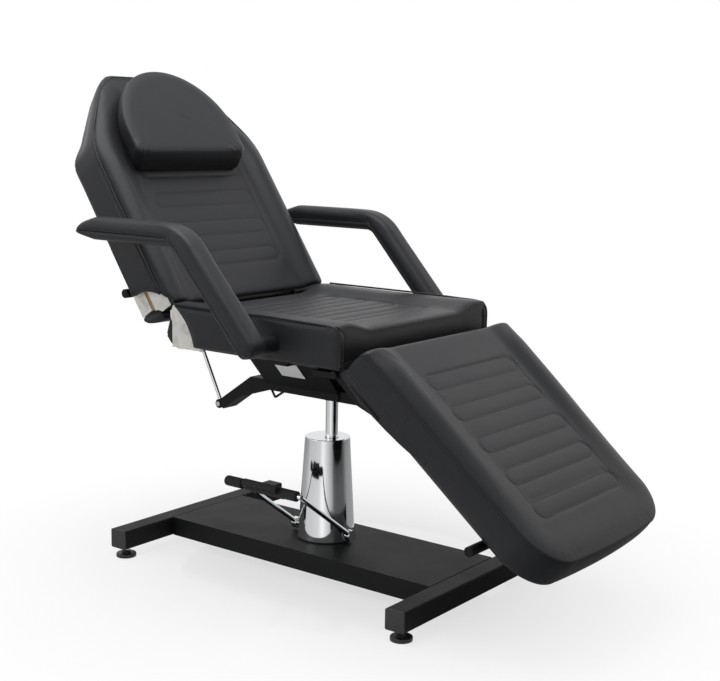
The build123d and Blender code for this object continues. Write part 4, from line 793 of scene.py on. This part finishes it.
# %% Arm pads and their base strips
ARM_TIP, ARM_TAPER, ARM_TOP = 464.0, 64, 0.831
arm_pieces = {}
for side, sign in SIDES:
    arm_pieces[f"arm_pad_{side}"] = soft_copy(f"arm_pad_{side}", f"arm_cover_{side}", 2.6, 3, 5)
    arm_pieces[f"arm_base_{side}"] = soft_copy(f"arm_base_{side}", f"arm_strip_{side}", 2.2, 1.2, 2)
    for node in (f"arm_pad_{side}", f"arm_base_{side}"):
        for v in arm_pieces[node].data.vertices:
            left_over = min(1.0, max(0.0, (ARM_TIP - (v.co.y * 1000 - FOOTPRINT_SHIFT)) / ARM_TAPER))
            if left_over < 1 and v.co.z > 0.78:
                v.co.z = ARM_TOP + (v.co.z - ARM_TOP) * (0.28 + 0.72 * left_over**0.7)
                v.co.y -= 0.006 * (1 - left_over)

# %% [markdown]
# ### Pillow
# A D-shaped pad that leans on the backrest. Rings of vertices run round its outline and in towards the
# middle of its face, so the crown and the gathers at its lower corners can be given by rule.

# %% Pillow
PILLOW_X, PILLOW_LOW, PILLOW_HALF = -12.0, 362.0, 196.0
PILLOW_MIDDLE, PILLOW_ROUND, PILLOW_CORNER = 446.0, 186.0, 22.0
PILLOW_THICK, PILLOW_CROWN, PILLOW_SKEW = 66, 2.5, 0.28
GATHER_X, GATHER_W, GATHER_DEPTH = 168, 380, 2.4
FACE_RINGS = 14


def pillow_outline(count=240):
    """Evenly spaced points round the D, from the middle of its lower edge."""
    half, corner = PILLOW_HALF, PILLOW_CORNER
    line = []
    for i in range(13):
        a = math.radians(-90 + 90 * i / 12)
        line.append((half - corner + corner * math.cos(a), PILLOW_LOW + corner * (1 + math.sin(a))))
    for i in range(61):
        a = math.pi * i / 60
        line.append((half * math.cos(a), PILLOW_MIDDLE + PILLOW_ROUND * math.sin(a)))
    for i in range(13):
        a = math.radians(180 + 90 * i / 12)
        line.append((-half + corner + corner * math.cos(a), PILLOW_LOW + corner * (1 + math.sin(a))))
    line = np.array(line + [line[0]])
    run = np.concatenate([[0], np.cumsum(np.linalg.norm(np.diff(line, axis=0), axis=1))])
    at = np.linspace(0, run[-1], count, endpoint=False)
    return np.stack([np.interp(at, run, line[:, k]) for k in (0, 1)], 1)


rim = pillow_outline()
tangent = np.roll(rim, -1, 0) - np.roll(rim, 1, 0)
outward = np.stack([tangent[:, 1], -tangent[:, 0]], 1)
outward /= np.linalg.norm(outward, axis=1, keepdims=True)
centre = np.array([0.0, 500.0])
low_side = np.array([smooth_step(0.55, 0.95, -v) for v in outward[:, 1]])
wall_rings = [
    (30, 0.6), (19, 0.6), (14, 4), (11, 11), (7.5, 22), (4, 34), (1.2, 46), (0.6, 56),
    (1.8, 60), (3.4, 62.5), (6, 64.5), (11, 65.5), (18, PILLOW_THICK),
]
points = []
count = len(rim)
for inset, out in wall_rings:
    for (x, w), (nx, nw), low in zip(rim, outward, low_side):
        points.append((x - nx * inset, w - nw * inset * (1 - 0.5 * low), out))
inner = rim - outward * 18
inner[:, 1] += outward[:, 1] * 9 * low_side
for k in range(1, FACE_RINGS + 1):
    share = k / (FACE_RINGS + 1)
    ring = inner + (centre - inner) * share
    points += [(x, w, PILLOW_THICK + PILLOW_CROWN * math.sin(share * math.pi / 2) ** 2) for x, w in ring]


def gathered(x, w, out):
    """Leans the low side back, and draws the cover into small radial folds at its two corners."""
    w += 0.5 * max(0.0, out - 14) * (1 - smooth_step(360, 430, w))
    for side in (-1, 1):
        dx, dw = x - side * GATHER_X, w - GATHER_W
        near = math.hypot(dx, dw)
        if near < 60:
            fold = math.sin(10 * math.atan2(dw, dx)) * math.exp(-(near / 24) ** 2)
            out += GATHER_DEPTH * fold * min(1.0, out / 25)
    return x + PILLOW_X - PILLOW_SKEW * out, w, out


points = [gathered(*p) for p in points]
faces = tube_faces(len(wall_rings) + FACE_RINGS, count)
pillow = new_piece("pillow_cover", [back.place(*p) for p in points], faces, leather)
held = {i: 1.0 for i in range(3 * count)}
held.update({i: 1.0 for i in range(8 * count, 10 * count)})
puff(pillow, held, cap=1.6)

# %% [markdown]
# ### What shows at the hinges
# Where the notch is cut out of the side panels, the foam inside shows its pale lining, stapled to the
# boards and left a little crumpled. The backrest's lower end and the sides of the leg rest have plain
# black leather flaps. All are thin closed sheets, laid as a grid of paired points: outside and inside.


# %% Thin sheets
def thin_sheet(name, grid, finish, body):
    """A closed sheet from rows of (outer, inner) points."""
    high, across = len(grid), len(grid[0])
    points = [pair[0] for row in grid for pair in row] + [pair[1] for row in grid for pair in row]
    back_face = high * across
    faces = []
    for j in range(high - 1):
        for i in range(across - 1):
            a = j * across + i
            faces.append((a, a + 1, a + across + 1, a + across))
            faces.append((a + back_face + across, a + back_face + across + 1, a + back_face + 1, a + back_face))
    border = border_of(across, high)
    for k, a in enumerate(border):
        b = border[(k + 1) % len(border)]
        faces.append((b, a, a + back_face, b + back_face))
    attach(new_piece(name, points, faces, finish), body)


def crumple(u, v, seed):
    """Folds of a loose sheet: sharp-edged waves of a few sizes."""
    at = Vector((u / 26, v / 26, seed))
    fold = 1 - 2 * abs(noise.noise(at)) ** 0.7
    fine = 1 - 2 * abs(noise.noise(at * 2.7)) ** 0.8
    return 0.75 * fold + 0.35 * fine


# %% Pale lining at the hinge
LINING_FACE, LINING_BACK = 280.2, 278.9
SEAT_LINING_LOW, SEAT_LINING_TALL = 560.0, 102.0
LINING_TUCK = 14.0

for side, sign in SIDES:
    grid = []
    for j in range(31):
        v = j / 30
        row = []
        for i in range(33):
            u = i / 32
            arc = seat_notch(SEAT_LINING_LOW + SEAT_LINING_TALL * v)
            end = 251 + 6 * smooth_step(0.62, 0.84, v)
            y = arc - LINING_TUCK + (end - arc + LINING_TUCK) * u
            top = 662.5 - nose(SEAT_REAR - y, SEAT_TAIL)
            z = SEAT_LINING_LOW + (top - SEAT_LINING_LOW) * v
            if j < 4:
                z -= (4 - j) / 4 * (3 + 3 * noise.noise(Vector((y / 18, sign, 3.0))))
            loose = smooth_step(612, 619, z) + 0.5 * (1 - smooth_step(560, 572, z))
            crease = 1.0 * math.exp(-((z - 615.5) / 2.2) ** 2)
            x = LINING_FACE + (0.25 + 0.75 * loose) * crumple(y, z, sign) + crease
            row.append((chair(sign * x, y, z), chair(sign * LINING_BACK, y, z)))
        grid.append(row)
    thin_sheet(f"seat_lining_{side}", grid, lining, "seat")
    for part, (low_out, high_out, low_w) in (("front", (-51.5, 1.0, 12)), ("rear", (-101, -62.5, 19))):
        grid = []
        for j in range(21):
            out = low_out + (high_out - low_out) * j / 20
            arc = back_notch(out)
            start = low_w
            if part == "front":
                start -= 12 * smooth_step(-48, -30, out)
            row = []
            for i in range(25):
                u = i / 24
                w = start + (arc + LINING_TUCK - start) * u
                x = LINING_FACE + 0.9 * crumple(w, out, 5 + sign)
                row.append((back.place(sign * x, w, out), back.place(sign * LINING_BACK, w, out)))
            grid.append(row)
        thin_sheet(f"backrest_lining_{part}_{side}", grid, lining, "backrest")
    grid = [
        [(back.place(sign * 278.8, w, out), back.place(sign * 271.5, w, out))
         for w in np.linspace(16, back_notch(out) + 12, 12)]
        for out in (-62.4, -51.6)
    ]
    thin_sheet(f"backrest_board_edge_{side}", grid, back_plywood, "backrest")

# %% Black leather over the backrest's lower end
# Its section is a lens, drawn as a few corners and rounded by cutting them twice. It leaves room for
# the two hinge posts.
end_profile = [(14, -105), (20, -90), (21, -76), (17, -60), (10, -46), (2, -38), (-7, -36), (-12, -39), (-15, -47),
               (-15, -60), (-9, -78), (0, -94)]
for _ in range(2):
    eased = []
    for k, (w, out) in enumerate(end_profile):
        next_w, next_out = end_profile[(k + 1) % len(end_profile)]
        eased.append((0.75 * w + 0.25 * next_w, 0.75 * out + 0.25 * next_out))
        eased.append((0.25 * w + 0.75 * next_w, 0.25 * out + 0.75 * next_out))
    end_profile = eased
end_columns = spread((-279.6, -210, 6), (-210, -166, 3), (-166, 166, 12), (166, 210, 3), (210, 279.6, 6))
points = []
for x in end_columns:
    open_here = 1 - smooth_step(17, 23, abs(abs(x) - POST_X))
    for w, out in end_profile:
        loose = 1.5 * noise.noise(Vector((x / 60, out / 30, 9.0)))
        low = w + loose * smooth_step(4, -6, w)
        points.append(back.place(x, low + (max(low, 6 + 0.01 * out) - low) * open_here, out))
faces = tube_faces(len(end_columns), len(end_profile))
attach(new_piece("backrest_end_cover", points, faces, leather), "backrest")

# %% Leather flaps at the sides of the leg rest
FLAP_EDGE = [(-20, -89), (8, -92), (34, -94), (66, -98), (91, -95), (147, -90), (185, -85), (215, -80), (262, -70)]
for side, sign in SIDES:
    grid = []
    for j in range(13):
        share = j / 12
        row = []
        for i in range(57):
            v_top = -4 + 264 * i / 56
            v_low = -20 + 280 * i / 56
            low = float(np.interp(v_low, *zip(*FLAP_EDGE)))
            v = v_low + (v_top - v_low) * share
            out = low + (-58 - low) * share
            wave = 0.35 * noise.noise(Vector((v / 22, out / 22, 2 + sign)))
            outer = min(286.8, max(leg_half(v) + 0.9, 284.9) + wave)
            outer -= 3.0 * max(smooth_step(0.6, 1.0, share), smooth_step(205, 255, v)) * smooth_step(110, 140, v)
            outer -= 1.2 * smooth_step(0.6, 1.0, share) * (1 - smooth_step(110, 140, v))
            inner = max(outer - 2.6, 283.4) if v < 120 else outer - 3.4
            row.append((leg.place(sign * outer, v, out), leg.place(sign * inner, v, out)))
        grid.append(row)
    thin_sheet(f"leg_rest_flap_{side}", grid, leather, "leg_rest")

# %% [markdown]
# ## Piping and stitching
# Piping is a cord wrapped in leather and sewn into a seam; topstitching is a row of short thread
# loops. Both follow a path, so Geometry Nodes make them: one tree sweeps a round bead, the other sets
# a stitch at every step along the path.


# %% The two trees
def new_tree(name, sizes):
    """A geometry tree with named sizes and a finish. Gives the tree, its inlet and its socket names."""
    tree = bpy.data.node_groups.new(name, "GeometryNodeTree")
    tree.interface.new_socket("Path", in_out="INPUT", socket_type="NodeSocketGeometry")
    names = {}
    for size in sizes:
        names[size] = tree.interface.new_socket(size, in_out="INPUT", socket_type="NodeSocketFloat").identifier
    names["Finish"] = tree.interface.new_socket("Finish", in_out="INPUT", socket_type="NodeSocketMaterial").identifier
    tree.interface.new_socket("Trim", in_out="OUTPUT", socket_type="NodeSocketGeometry")
    return tree, add(tree, "NodeGroupInput"), names


def close_tree(tree, inlet, made):
    """Realize, shade smooth, set the finish and put out."""
    whole = add(tree, "GeometryNodeRealizeInstances", links={"Geometry": made})
    shaded = add(tree, "GeometryNodeSetShadeSmooth", links={"Geometry": whole.outputs["Geometry"]})
    coated = add(tree, "GeometryNodeSetMaterial",
                 links={"Geometry": shaded.outputs["Geometry"], "Material": inlet.outputs["Finish"]})
    add(tree, "NodeGroupOutput", links={"Trim": coated.outputs["Geometry"]})


bead_tree, inlet, bead_names = new_tree("bead along a path", ["Radius"])
path = add(bead_tree, "GeometryNodeMeshToCurve", links={"Mesh": inlet.outputs["Path"]})
section = add(bead_tree, "GeometryNodeCurvePrimitiveCircle", {"Resolution": 8}, {"Radius": inlet.outputs["Radius"]})
swept = add(bead_tree, "GeometryNodeCurveToMesh", {"Fill Caps": True},
            {"Curve": path.outputs["Curve"], "Profile Curve": section.outputs["Curve"]})
close_tree(bead_tree, inlet, swept.outputs["Mesh"])

stitch_tree, inlet, stitch_names = new_tree("stitches along a path", ["Pitch", "Length", "Thread"])
path = add(stitch_tree, "GeometryNodeMeshToCurve", links={"Mesh": inlet.outputs["Path"]})
steps = add(stitch_tree, "GeometryNodeCurveToPoints",
            links={"Curve": path.outputs["Curve"], "Length": inlet.outputs["Pitch"]}, mode="LENGTH")
loop = add(stitch_tree, "GeometryNodeMeshUVSphere", {"Segments": 6, "Rings": 4, "Radius": 0.5})
size = add(stitch_tree, "ShaderNodeCombineXYZ", links={
    "X": inlet.outputs["Thread"], "Y": inlet.outputs["Thread"], "Z": inlet.outputs["Length"]})
sewn = add(stitch_tree, "GeometryNodeInstanceOnPoints", links={
    "Points": steps.outputs["Points"], "Instance": loop.outputs["Mesh"],
    "Rotation": steps.outputs["Rotation"], "Scale": size.outputs["Vector"]})
close_tree(stitch_tree, inlet, sewn.outputs["Instances"])


def trim(name, lines, tree, names, sizes, finish, body, closed=False):
    """Trim along one or more lines of points, as a plain mesh that rides on a body."""
    points, edges = [], []
    for line in lines:
        first = len(points)
        points += [tuple(p) for p in line]
        edges += [(first + i, first + i + 1) for i in range(len(line) - 1)]
        if closed:
            edges.append((first + len(line) - 1, first))
    mesh = bpy.data.meshes.new(name)
    mesh.from_pydata(points, edges, [])
    piece = in_scene(name, mesh)
    maker = piece.modifiers.new("trim", "NODES")
    maker.node_group = tree
    for size, value in sizes.items():
        maker[names[size]] = value
    maker[names["Finish"]] = finish
    frozen(piece)
    piece.data.materials.clear()
    piece.data.materials.append(finish)
    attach(piece, body)
    print(name, len(piece.data.polygons), "faces")


def bead(name, lines, radius, body, closed=False, finish=leather):
    """A round bead along lines, its radius in millimetres."""
    trim(name, lines, bead_tree, bead_names, {"Radius": radius / 1000}, finish, body, closed)


def stitches(name, lines, body, pitch=5.0, length=3.6, thread=0.8):
    """Stitches round closed lines; the sizes are in millimetres."""
    sizes = {"Pitch": pitch / 1000, "Length": length / 1000, "Thread": thread / 1000}
    trim(name, lines, stitch_tree, stitch_names, sizes, thread_black, body, closed=True)


def on_surface(piece, points, lift=0.2):
    """The nearest places on a piece to a line of points, lifted a little off its skin."""
    line = []
    for point in points:
        _, spot, normal, _ = piece.closest_point_on_mesh(point)
        line.append(spot + normal * lift / 1000)
    return line


# %% [markdown]
# The thread is bonded nylon in the colour of the cover, a little darker than the leather.

# %% Thread and the ribs' stitching
thread_black, tree, shader, place = new_finish(
    "black bonded nylon thread", {"Base Color": linear("0b0b0c"), "Roughness": 0.6, "IOR": 1.53})
roughen(tree, shader, clouds(tree, place, 1800.0, 1.0), 0.3, 0.0003)


def sewn_ribs(name, centres, height, place, body):
    """Stitches in the grooves of all ribs of one pad, over a continuous dark cord that is partly the thread and partly
    painted shade of the groove.
    """
    lines = [[place(x, w, height(x, w) + 0.2) for x, w in rib_outline(c)] for c in centres]
    # A continuous cord of dark thread along each groove: partly the thread, partly painted shade of the sewn groove.
    bead(name.replace("stitches", "thread"), lines, 0.6, body, closed=True, finish=thread_black)
    stitches(name, lines, body)


sewn_ribs("leg_rest_rib_stitches", LEG_RIBS, leg_height, leg.place, "leg_rest")
sewn_ribs("seat_rib_stitches", SEAT_RIBS, seat_height, seat_place, "seat")
sewn_ribs("backrest_rib_stitches", BACK_RIBS, back_height, back.place, "backrest")


# %% Piping of the leg rest, the seat and the backrest
def along_ring(piece, indices, push):
    """Points of a seam, pushed outwards along the pad's normals."""
    vertices = piece.data.vertices
    return [vertices[i].co + vertices[i].normal * push / 1000 for i in indices]


def open_rim(rings, ring, columns, rows):
    """Indices up one side, round the far end and down the other, without the start row."""
    across, along = len(columns), len(rows)
    order = rings[ring]
    return order[across - 1:across + along - 1] + order[across + along - 1:] + [order[0]]


leg_seam = along_ring(leg_cushion, open_rim(leg_rings, 1, leg_columns, leg_rows), 1.6)
foot_of_seam = [leg.place(287.5, -1.0, out) for out in (-52, -42, -32)]
mirrored = [Vector((-p.x, p.y, p.z)) for p in reversed(foot_of_seam)]
bead("leg_rest_piping", [foot_of_seam + leg_seam + mirrored], 2.2, "leg_rest")

PIPING_X, BINDING_X = 294.0, 293.0
for side, sign in SIDES:
    line = [chair(sign * PIPING_X, y, 661.5 + 2.5 * smooth_step(-240, -60, y)) for y in range(232, -248, -8)]
    line += [
        chair(sign * PIPING_X, -250 - 16 * math.sin(math.radians(a)), 645.5 + 16 * math.cos(math.radians(a)))
        for a in range(10, 91, 10)
    ]
    line += [chair(sign * PIPING_X, -266.5, z) for z in range(638, 566, -8)]
    kept = [p for p in line if p.y > chair(0, -225, 0).y]
    line = kept + on_surface(seat_sides[side], line[len(kept):], 1.2)
    for _ in range(3):
        line[1:-1] = [(a + 2 * b + c) / 4 for a, b, c in zip(line, line[1:], line[2:])]
    bead(f"seat_piping_{side}", [line], 2.4, "seat")

BACK_PIPING_START = 46
back_rim = [back_plan(1, w) for w in back_rows if w > BACK_PIPING_START]
back_rim += [back_plan(s, BACK_LONG) for s in reversed(back_columns[1:-1])]
back_rim += [back_plan(-1, w) for w in reversed(back_rows) if w > BACK_PIPING_START]
back_seam = [back.place(x + math.copysign(3.0, x), w, -1.0) for x, w in back_rim]
bead("backrest_piping", [back_seam], 2.2, "backrest")

# %% Bindings along the notches, and the seams at the sides of the leg rest
for side, sign in SIDES:
    arc = [chair(sign * BINDING_X, seat_notch(z) - 1, z) for z in range(568, 662, 3)]
    bead(f"seat_notch_binding_{side}", [arc], 3.2, "seat")
    arc = [back.place(sign * BINDING_X, back_notch(out) + 3, out) for out in range(-88, -3, 3)]
    bead(f"backrest_notch_binding_{side}", [arc], 3.2, "backrest")
    runs = [[(v, out) for v in range(14, 164, 3)] for out in (-60, -64, -74)]
    runs.append([(165, out) for out in range(-80, -2, 3)])
    lines = [on_surface(leg_cushion, [leg.place(sign * 288, v, out) for v, out in run]) for run in runs]
    bead(f"leg_rest_side_seams_{side}", lines, 0.7, "leg_rest", finish=thread_black)

# %% Welts of the arms and the shroud's gasket
ARM_SEAM = [(-72.7, 591.7), (-68.9, 595.9), (121.6, 806.5), (128.8, 814.5), (136, 822.5), (143.7, 831), (440, 831)]


def close_points(corners, step=6.0):
    """Points every few millimetres along a line of (y, z) corners."""
    line = []
    for (y0, z0), (y1, z1) in zip(corners, corners[1:]):
        count = max(1, round(math.hypot(y1 - y0, z1 - z0) / step))
        line += [(y0 + (y1 - y0) * i / count, z0 + (z1 - z0) * i / count) for i in range(count)]
    return line + [corners[-1]]


for side, sign in SIDES:
    arm = arm_pieces[f"arm_pad_{side}"]
    runs = [[(sign * x, y, z) for y, z in close_points(ARM_SEAM)] for x in (402, 338)]
    lines = [on_surface(arm, [chair(*p) for p in run]) for run in runs]
    bead(f"arm_welt_{side}", lines, 1.5, f"arm_{side}")
    lines = [on_surface(arm, [chair(x, y + 1.5, z - 3.4) for x, y, z in run], -0.2) for run in runs]
    bead(f"arm_seam_{side}", lines, 1.2, f"arm_{side}", finish=thread_black)
    # Seams of the backrest's side band: a short one across it, and topstitching along both edges
    runs = [[(205, out) for out in range(-86, -62, 3)]]
    runs += [[(w, out) for w in range(60, 205, 4)] for out in (-82, -86)]
    runs += [[(w, -6) for w in range(36, 440, 4)], [(w, -11) for w in range(40, 440, 4)]]
    lines = [on_surface(back_sides[side], [back.place(sign * 299, w, out) for w, out in run]) for run in runs]
    bead(f"backrest_band_seams_{side}", lines, 0.7, "backrest", finish=thread_black)
GASKET_X, GASKET_Y, GASKET_Z, GASKET_RADIUS = 6.4, 4.0, 74.6, 71.4
turns = np.linspace(0, math.tau, 72, endpoint=False)
gasket = [
    chair(GASKET_X + GASKET_RADIUS * math.cos(a), GASKET_Y + GASKET_RADIUS * math.sin(a), GASKET_Z) for a in turns]
bead("shroud_gasket", [gasket], 1.6, "base", closed=True, finish=rubber)

# %% [markdown]
# ## Carried solids get their finishes
# The rigid parts keep their solid's shape and take a finish each.

# %% Finishes of the rigid parts
finish_of = {
    powder: ["cross_tubes", "base_box", "spine_tube", "elbow_gussets", "spring_lugs", "support_pan", "back_hinge_posts",
             "back_hinge_brackets", "leg_hinge_ears", "leg_hinge_arms", "arm_brackets", "back_spring_bracket",
             "leg_spring_bracket", "back_release_bar", "leg_release_bar", "back_release_ears", "leg_release_ears",
             "under_hook", "swivel_hub", "arm_pivot_bolts", "leg_hinge_bolts", "seat_board", "leg_board"],
    iron: ["pump_casting", "pump_barrel"],
    chrome: ["pump_shroud", "piston_rod", "pedal_arms", "pedal_pivots", "back_spring_rod", "leg_spring_rod"],
    zinc: ["foot_lock_nuts", "pump_flange_bolts", "frame_pins", "seat_bolts", "back_bolts", "leg_bolts"],
    rubber: ["foot_bar", "rod_wiper_seal"],
    plastic: ["tube_end_caps", "levelling_feet", "arm_hub_left", "arm_hub_right"],
    enamel: ["back_spring_cylinder", "leg_spring_cylinder"],
    aluminium: ["blank_plate"],
    back_plywood: ["back_board"],
}
for finish, nodes in finish_of.items():
    for node in nodes:
        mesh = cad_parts[node].data
        mesh.materials.clear()
        mesh.materials.append(finish)
print("finished solids", sum(len(nodes) for nodes in finish_of.values()))

# %% [markdown]
# ## What rides on what
# Each soft piece moves with its body and stands for its solid, which is hidden.

# %% Bodies and replaced nodes
soft_pieces = [
    (leg_cushion, "leg_rest", "leg_cushion"), (seat_cushion, "seat", "seat_cushion"),
    (back_cushion, "backrest", "back_cushion"), (rear_pad, "backrest", "back_rear_pad"),
    (pillow, "pillow", "pillow"),
]
for side, sign in SIDES:
    soft_pieces.append((seat_sides[side], "seat", f"seat_side_panel_{side}"))
    soft_pieces.append((back_sides[side], "backrest", f"back_side_panel_{side}"))
    for node in (f"arm_pad_{side}", f"arm_base_{side}"):
        soft_pieces.append((arm_pieces[node], f"arm_{side}", node))
for piece, body, node in soft_pieces:
    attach(piece, body)
    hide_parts(node)
print("soft pieces", len(soft_pieces))

# %% [markdown]
# ## Studio
# A plain studio: white floor and background, large soft lights from above and from both sides, and a
# faint mirror image of the base in the floor. The floor fades to plain white a little way from the chair.


# %% Floor
def sees_background(tree):
    """1 for the rays that should meet plain white: the camera's, and those that metal or glass sends on."""
    ray = add(tree, "ShaderNodeLightPath")
    metal = add(tree, "ShaderNodeMath", links={0: ray.outputs["Is Camera Ray"], 1: ray.outputs["Is Glossy Ray"]},
                operation="MAXIMUM")
    return add(tree, "ShaderNodeMath", links={0: metal.outputs[0], 1: ray.outputs["Is Transmission Ray"]},
               operation="MAXIMUM").outputs[0]


def show(tree, shader):
    """Puts another shader in the place of a finish's first one."""
    surface = next(n for n in tree.nodes if n.type == "OUTPUT_MATERIAL")
    tree.links.new(shader, surface.inputs["Surface"])


def circle(radius, count, level=0.0):
    """Points round the chair."""
    return [(radius * math.cos(math.tau * i / count), radius * math.sin(math.tau * i / count), level)
            for i in range(count)]


def studio_sheet(name, points, faces, finish):
    """A flat sheet that stages the chair and isn't part of it."""
    mesh = bpy.data.meshes.new(name)
    mesh.from_pydata(points, [], faces)
    mesh.materials.append(finish)
    sheet = in_scene(name, mesh)
    return sheet


white_floor, tree, shader, place = new_finish(
    "white studio floor", {"Base Color": linear("eeeeee"), "Roughness": 0.16, "Specular IOR Level": 0.5})
flat = add(tree, "ShaderNodeVectorMath", {1: (1.0, 1.0, 0.0)}, {0: place}, operation="MULTIPLY")
away = add(tree, "ShaderNodeVectorMath", links={0: flat.outputs["Vector"]}, operation="LENGTH")
fade = add(tree, "ShaderNodeMapRange", {"From Min": 0.2, "From Max": 1.15, "To Min": 0.66},
           {"Value": away.outputs["Value"]}, interpolation_type="SMOOTHSTEP")
glow = add(tree, "ShaderNodeEmission", {"Color": (1, 1, 1, 1), "Strength": 1.0})
blend = add(tree, "ShaderNodeMixShader",
            links={0: fade.outputs["Result"], 1: shader.outputs["BSDF"], 2: glow.outputs["Emission"]})
plain = add(tree, "ShaderNodeMixShader",
            links={0: sees_background(tree), 1: shader.outputs["BSDF"], 2: blend.outputs["Shader"]})
show(tree, plain.outputs["Shader"])
studio_sheet("studio_floor", circle(9, 64), [tuple(range(64))], white_floor)

# %% World and lights
world = bpy.data.worlds.new("studio")
world.use_nodes = True
bpy.context.scene.world = world
tree = world.node_tree
tree.nodes.clear()
shown = sees_background(tree)
strength = add(tree, "ShaderNodeMapRange", {"To Min": 0.36, "To Max": 1.0}, {"Value": shown})
sky = add(tree, "ShaderNodeBackground", {"Color": (1, 1, 1, 1)}, {"Strength": strength.outputs["Result"]})
add(tree, "ShaderNodeOutputWorld", links={"Surface": sky.outputs["Background"]})


def soft_light(name, at, towards, wide, high, watts):
    """A large rectangular light that faces a point."""
    lamp = bpy.data.lights.new(name, "AREA")
    lamp.shape = "RECTANGLE"
    lamp.size, lamp.size_y, lamp.energy = wide, high, watts
    holder = in_scene(name, lamp)
    holder.location = at
    holder.rotation_euler = (Vector(towards) - Vector(at)).to_track_quat("-Z", "Y").to_euler()
    print(name, watts, "W")


soft_light("overhead_softbox", (-0.3, 0.15, 2.2), (0, 0.2, 0.6), 1.4, 1.4, 32)
soft_light("left_softbox", (-2.6, 1.6, 1.7), (0, 0, 0.6), 1.6, 2.0, 13)
soft_light("right_softbox", (2.1, -1.0, 2.3), (0, 0.2, 0.8), 1.4, 1.4, 6)

# %% [markdown]
# Chrome shows nothing but what stands round it. A studio gives it cards with soft edges, so a ring on
# the floor, seen by reflections only, carries light and dark sectors: degrees from the x axis, and how
# bright the card is there.

# %% Ring of cards round the pump
CARDS = [(-180, 0.85), (-173, 1.0), (-165, 1.25), (-157, 1.15), (-147, 0.9), (-131, 0.6), (-121, 0.42), (-112, 0.1),
         (-99, 0.05), (-63, 0.06), (-55, 0.15), (-40, 0.3), (14, 0.36), (73, 0.3), (109, 0.45), (125, 0.7), (152, 0.75),
         (180, 0.85)]
BRIGHTEST = 1.25
cards, tree, shader, place = new_finish("graded studio cards", {"Base Color": linear("111111"), "Roughness": 1.0})
angle = add(tree, "ShaderNodeTexGradient", links={"Vector": place}, gradient_type="RADIAL")
sector = add(tree, "ShaderNodeValToRGB", links={"Fac": angle.outputs["Fac"]})
ramp = sector.color_ramp
while len(ramp.elements) < len(CARDS):
    ramp.elements.new(0.5)
for stop, (degrees, bright) in zip(ramp.elements, CARDS):
    stop.position = (degrees + 180) / 360
# Moving a stop sorts the ramp anew, so the colours wait until all stand in their order.
for stop, (degrees, bright) in zip(ramp.elements, CARDS):
    stop.color = (*[bright / BRIGHTEST] * 3, 1.0)
away = add(tree, "ShaderNodeVectorMath", links={0: place}, operation="LENGTH")
near = add(tree, "ShaderNodeMapRange", {"From Min": 1.2, "From Max": 2.1, "To Min": 0.06, "To Max": 0.0},
           {"Value": away.outputs["Value"]})
total = add(tree, "ShaderNodeMix", {"Factor": 1.0}, data_type="RGBA", blend_type="ADD")
tree.links.new(sector.outputs["Color"], total.inputs["A"])
tree.links.new(near.outputs["Result"], total.inputs["B"])
shine = add(tree, "ShaderNodeEmission", {"Strength": BRIGHTEST})
tree.links.new(next(o for o in total.outputs if o.type == "RGBA"), shine.inputs["Color"])
show(tree, shine.outputs["Emission"])

faces = [(i, (i + 1) % 96, 96 + (i + 1) % 96, 96 + i) for i in range(96)]
ring_card = studio_sheet("studio_cards", circle(0.4, 96, 0.004) + circle(3.2, 96, 0.004), faces, cards)
for kind in ("camera", "diffuse", "transmission", "shadow"):
    setattr(ring_card, f"visible_{kind}", False)
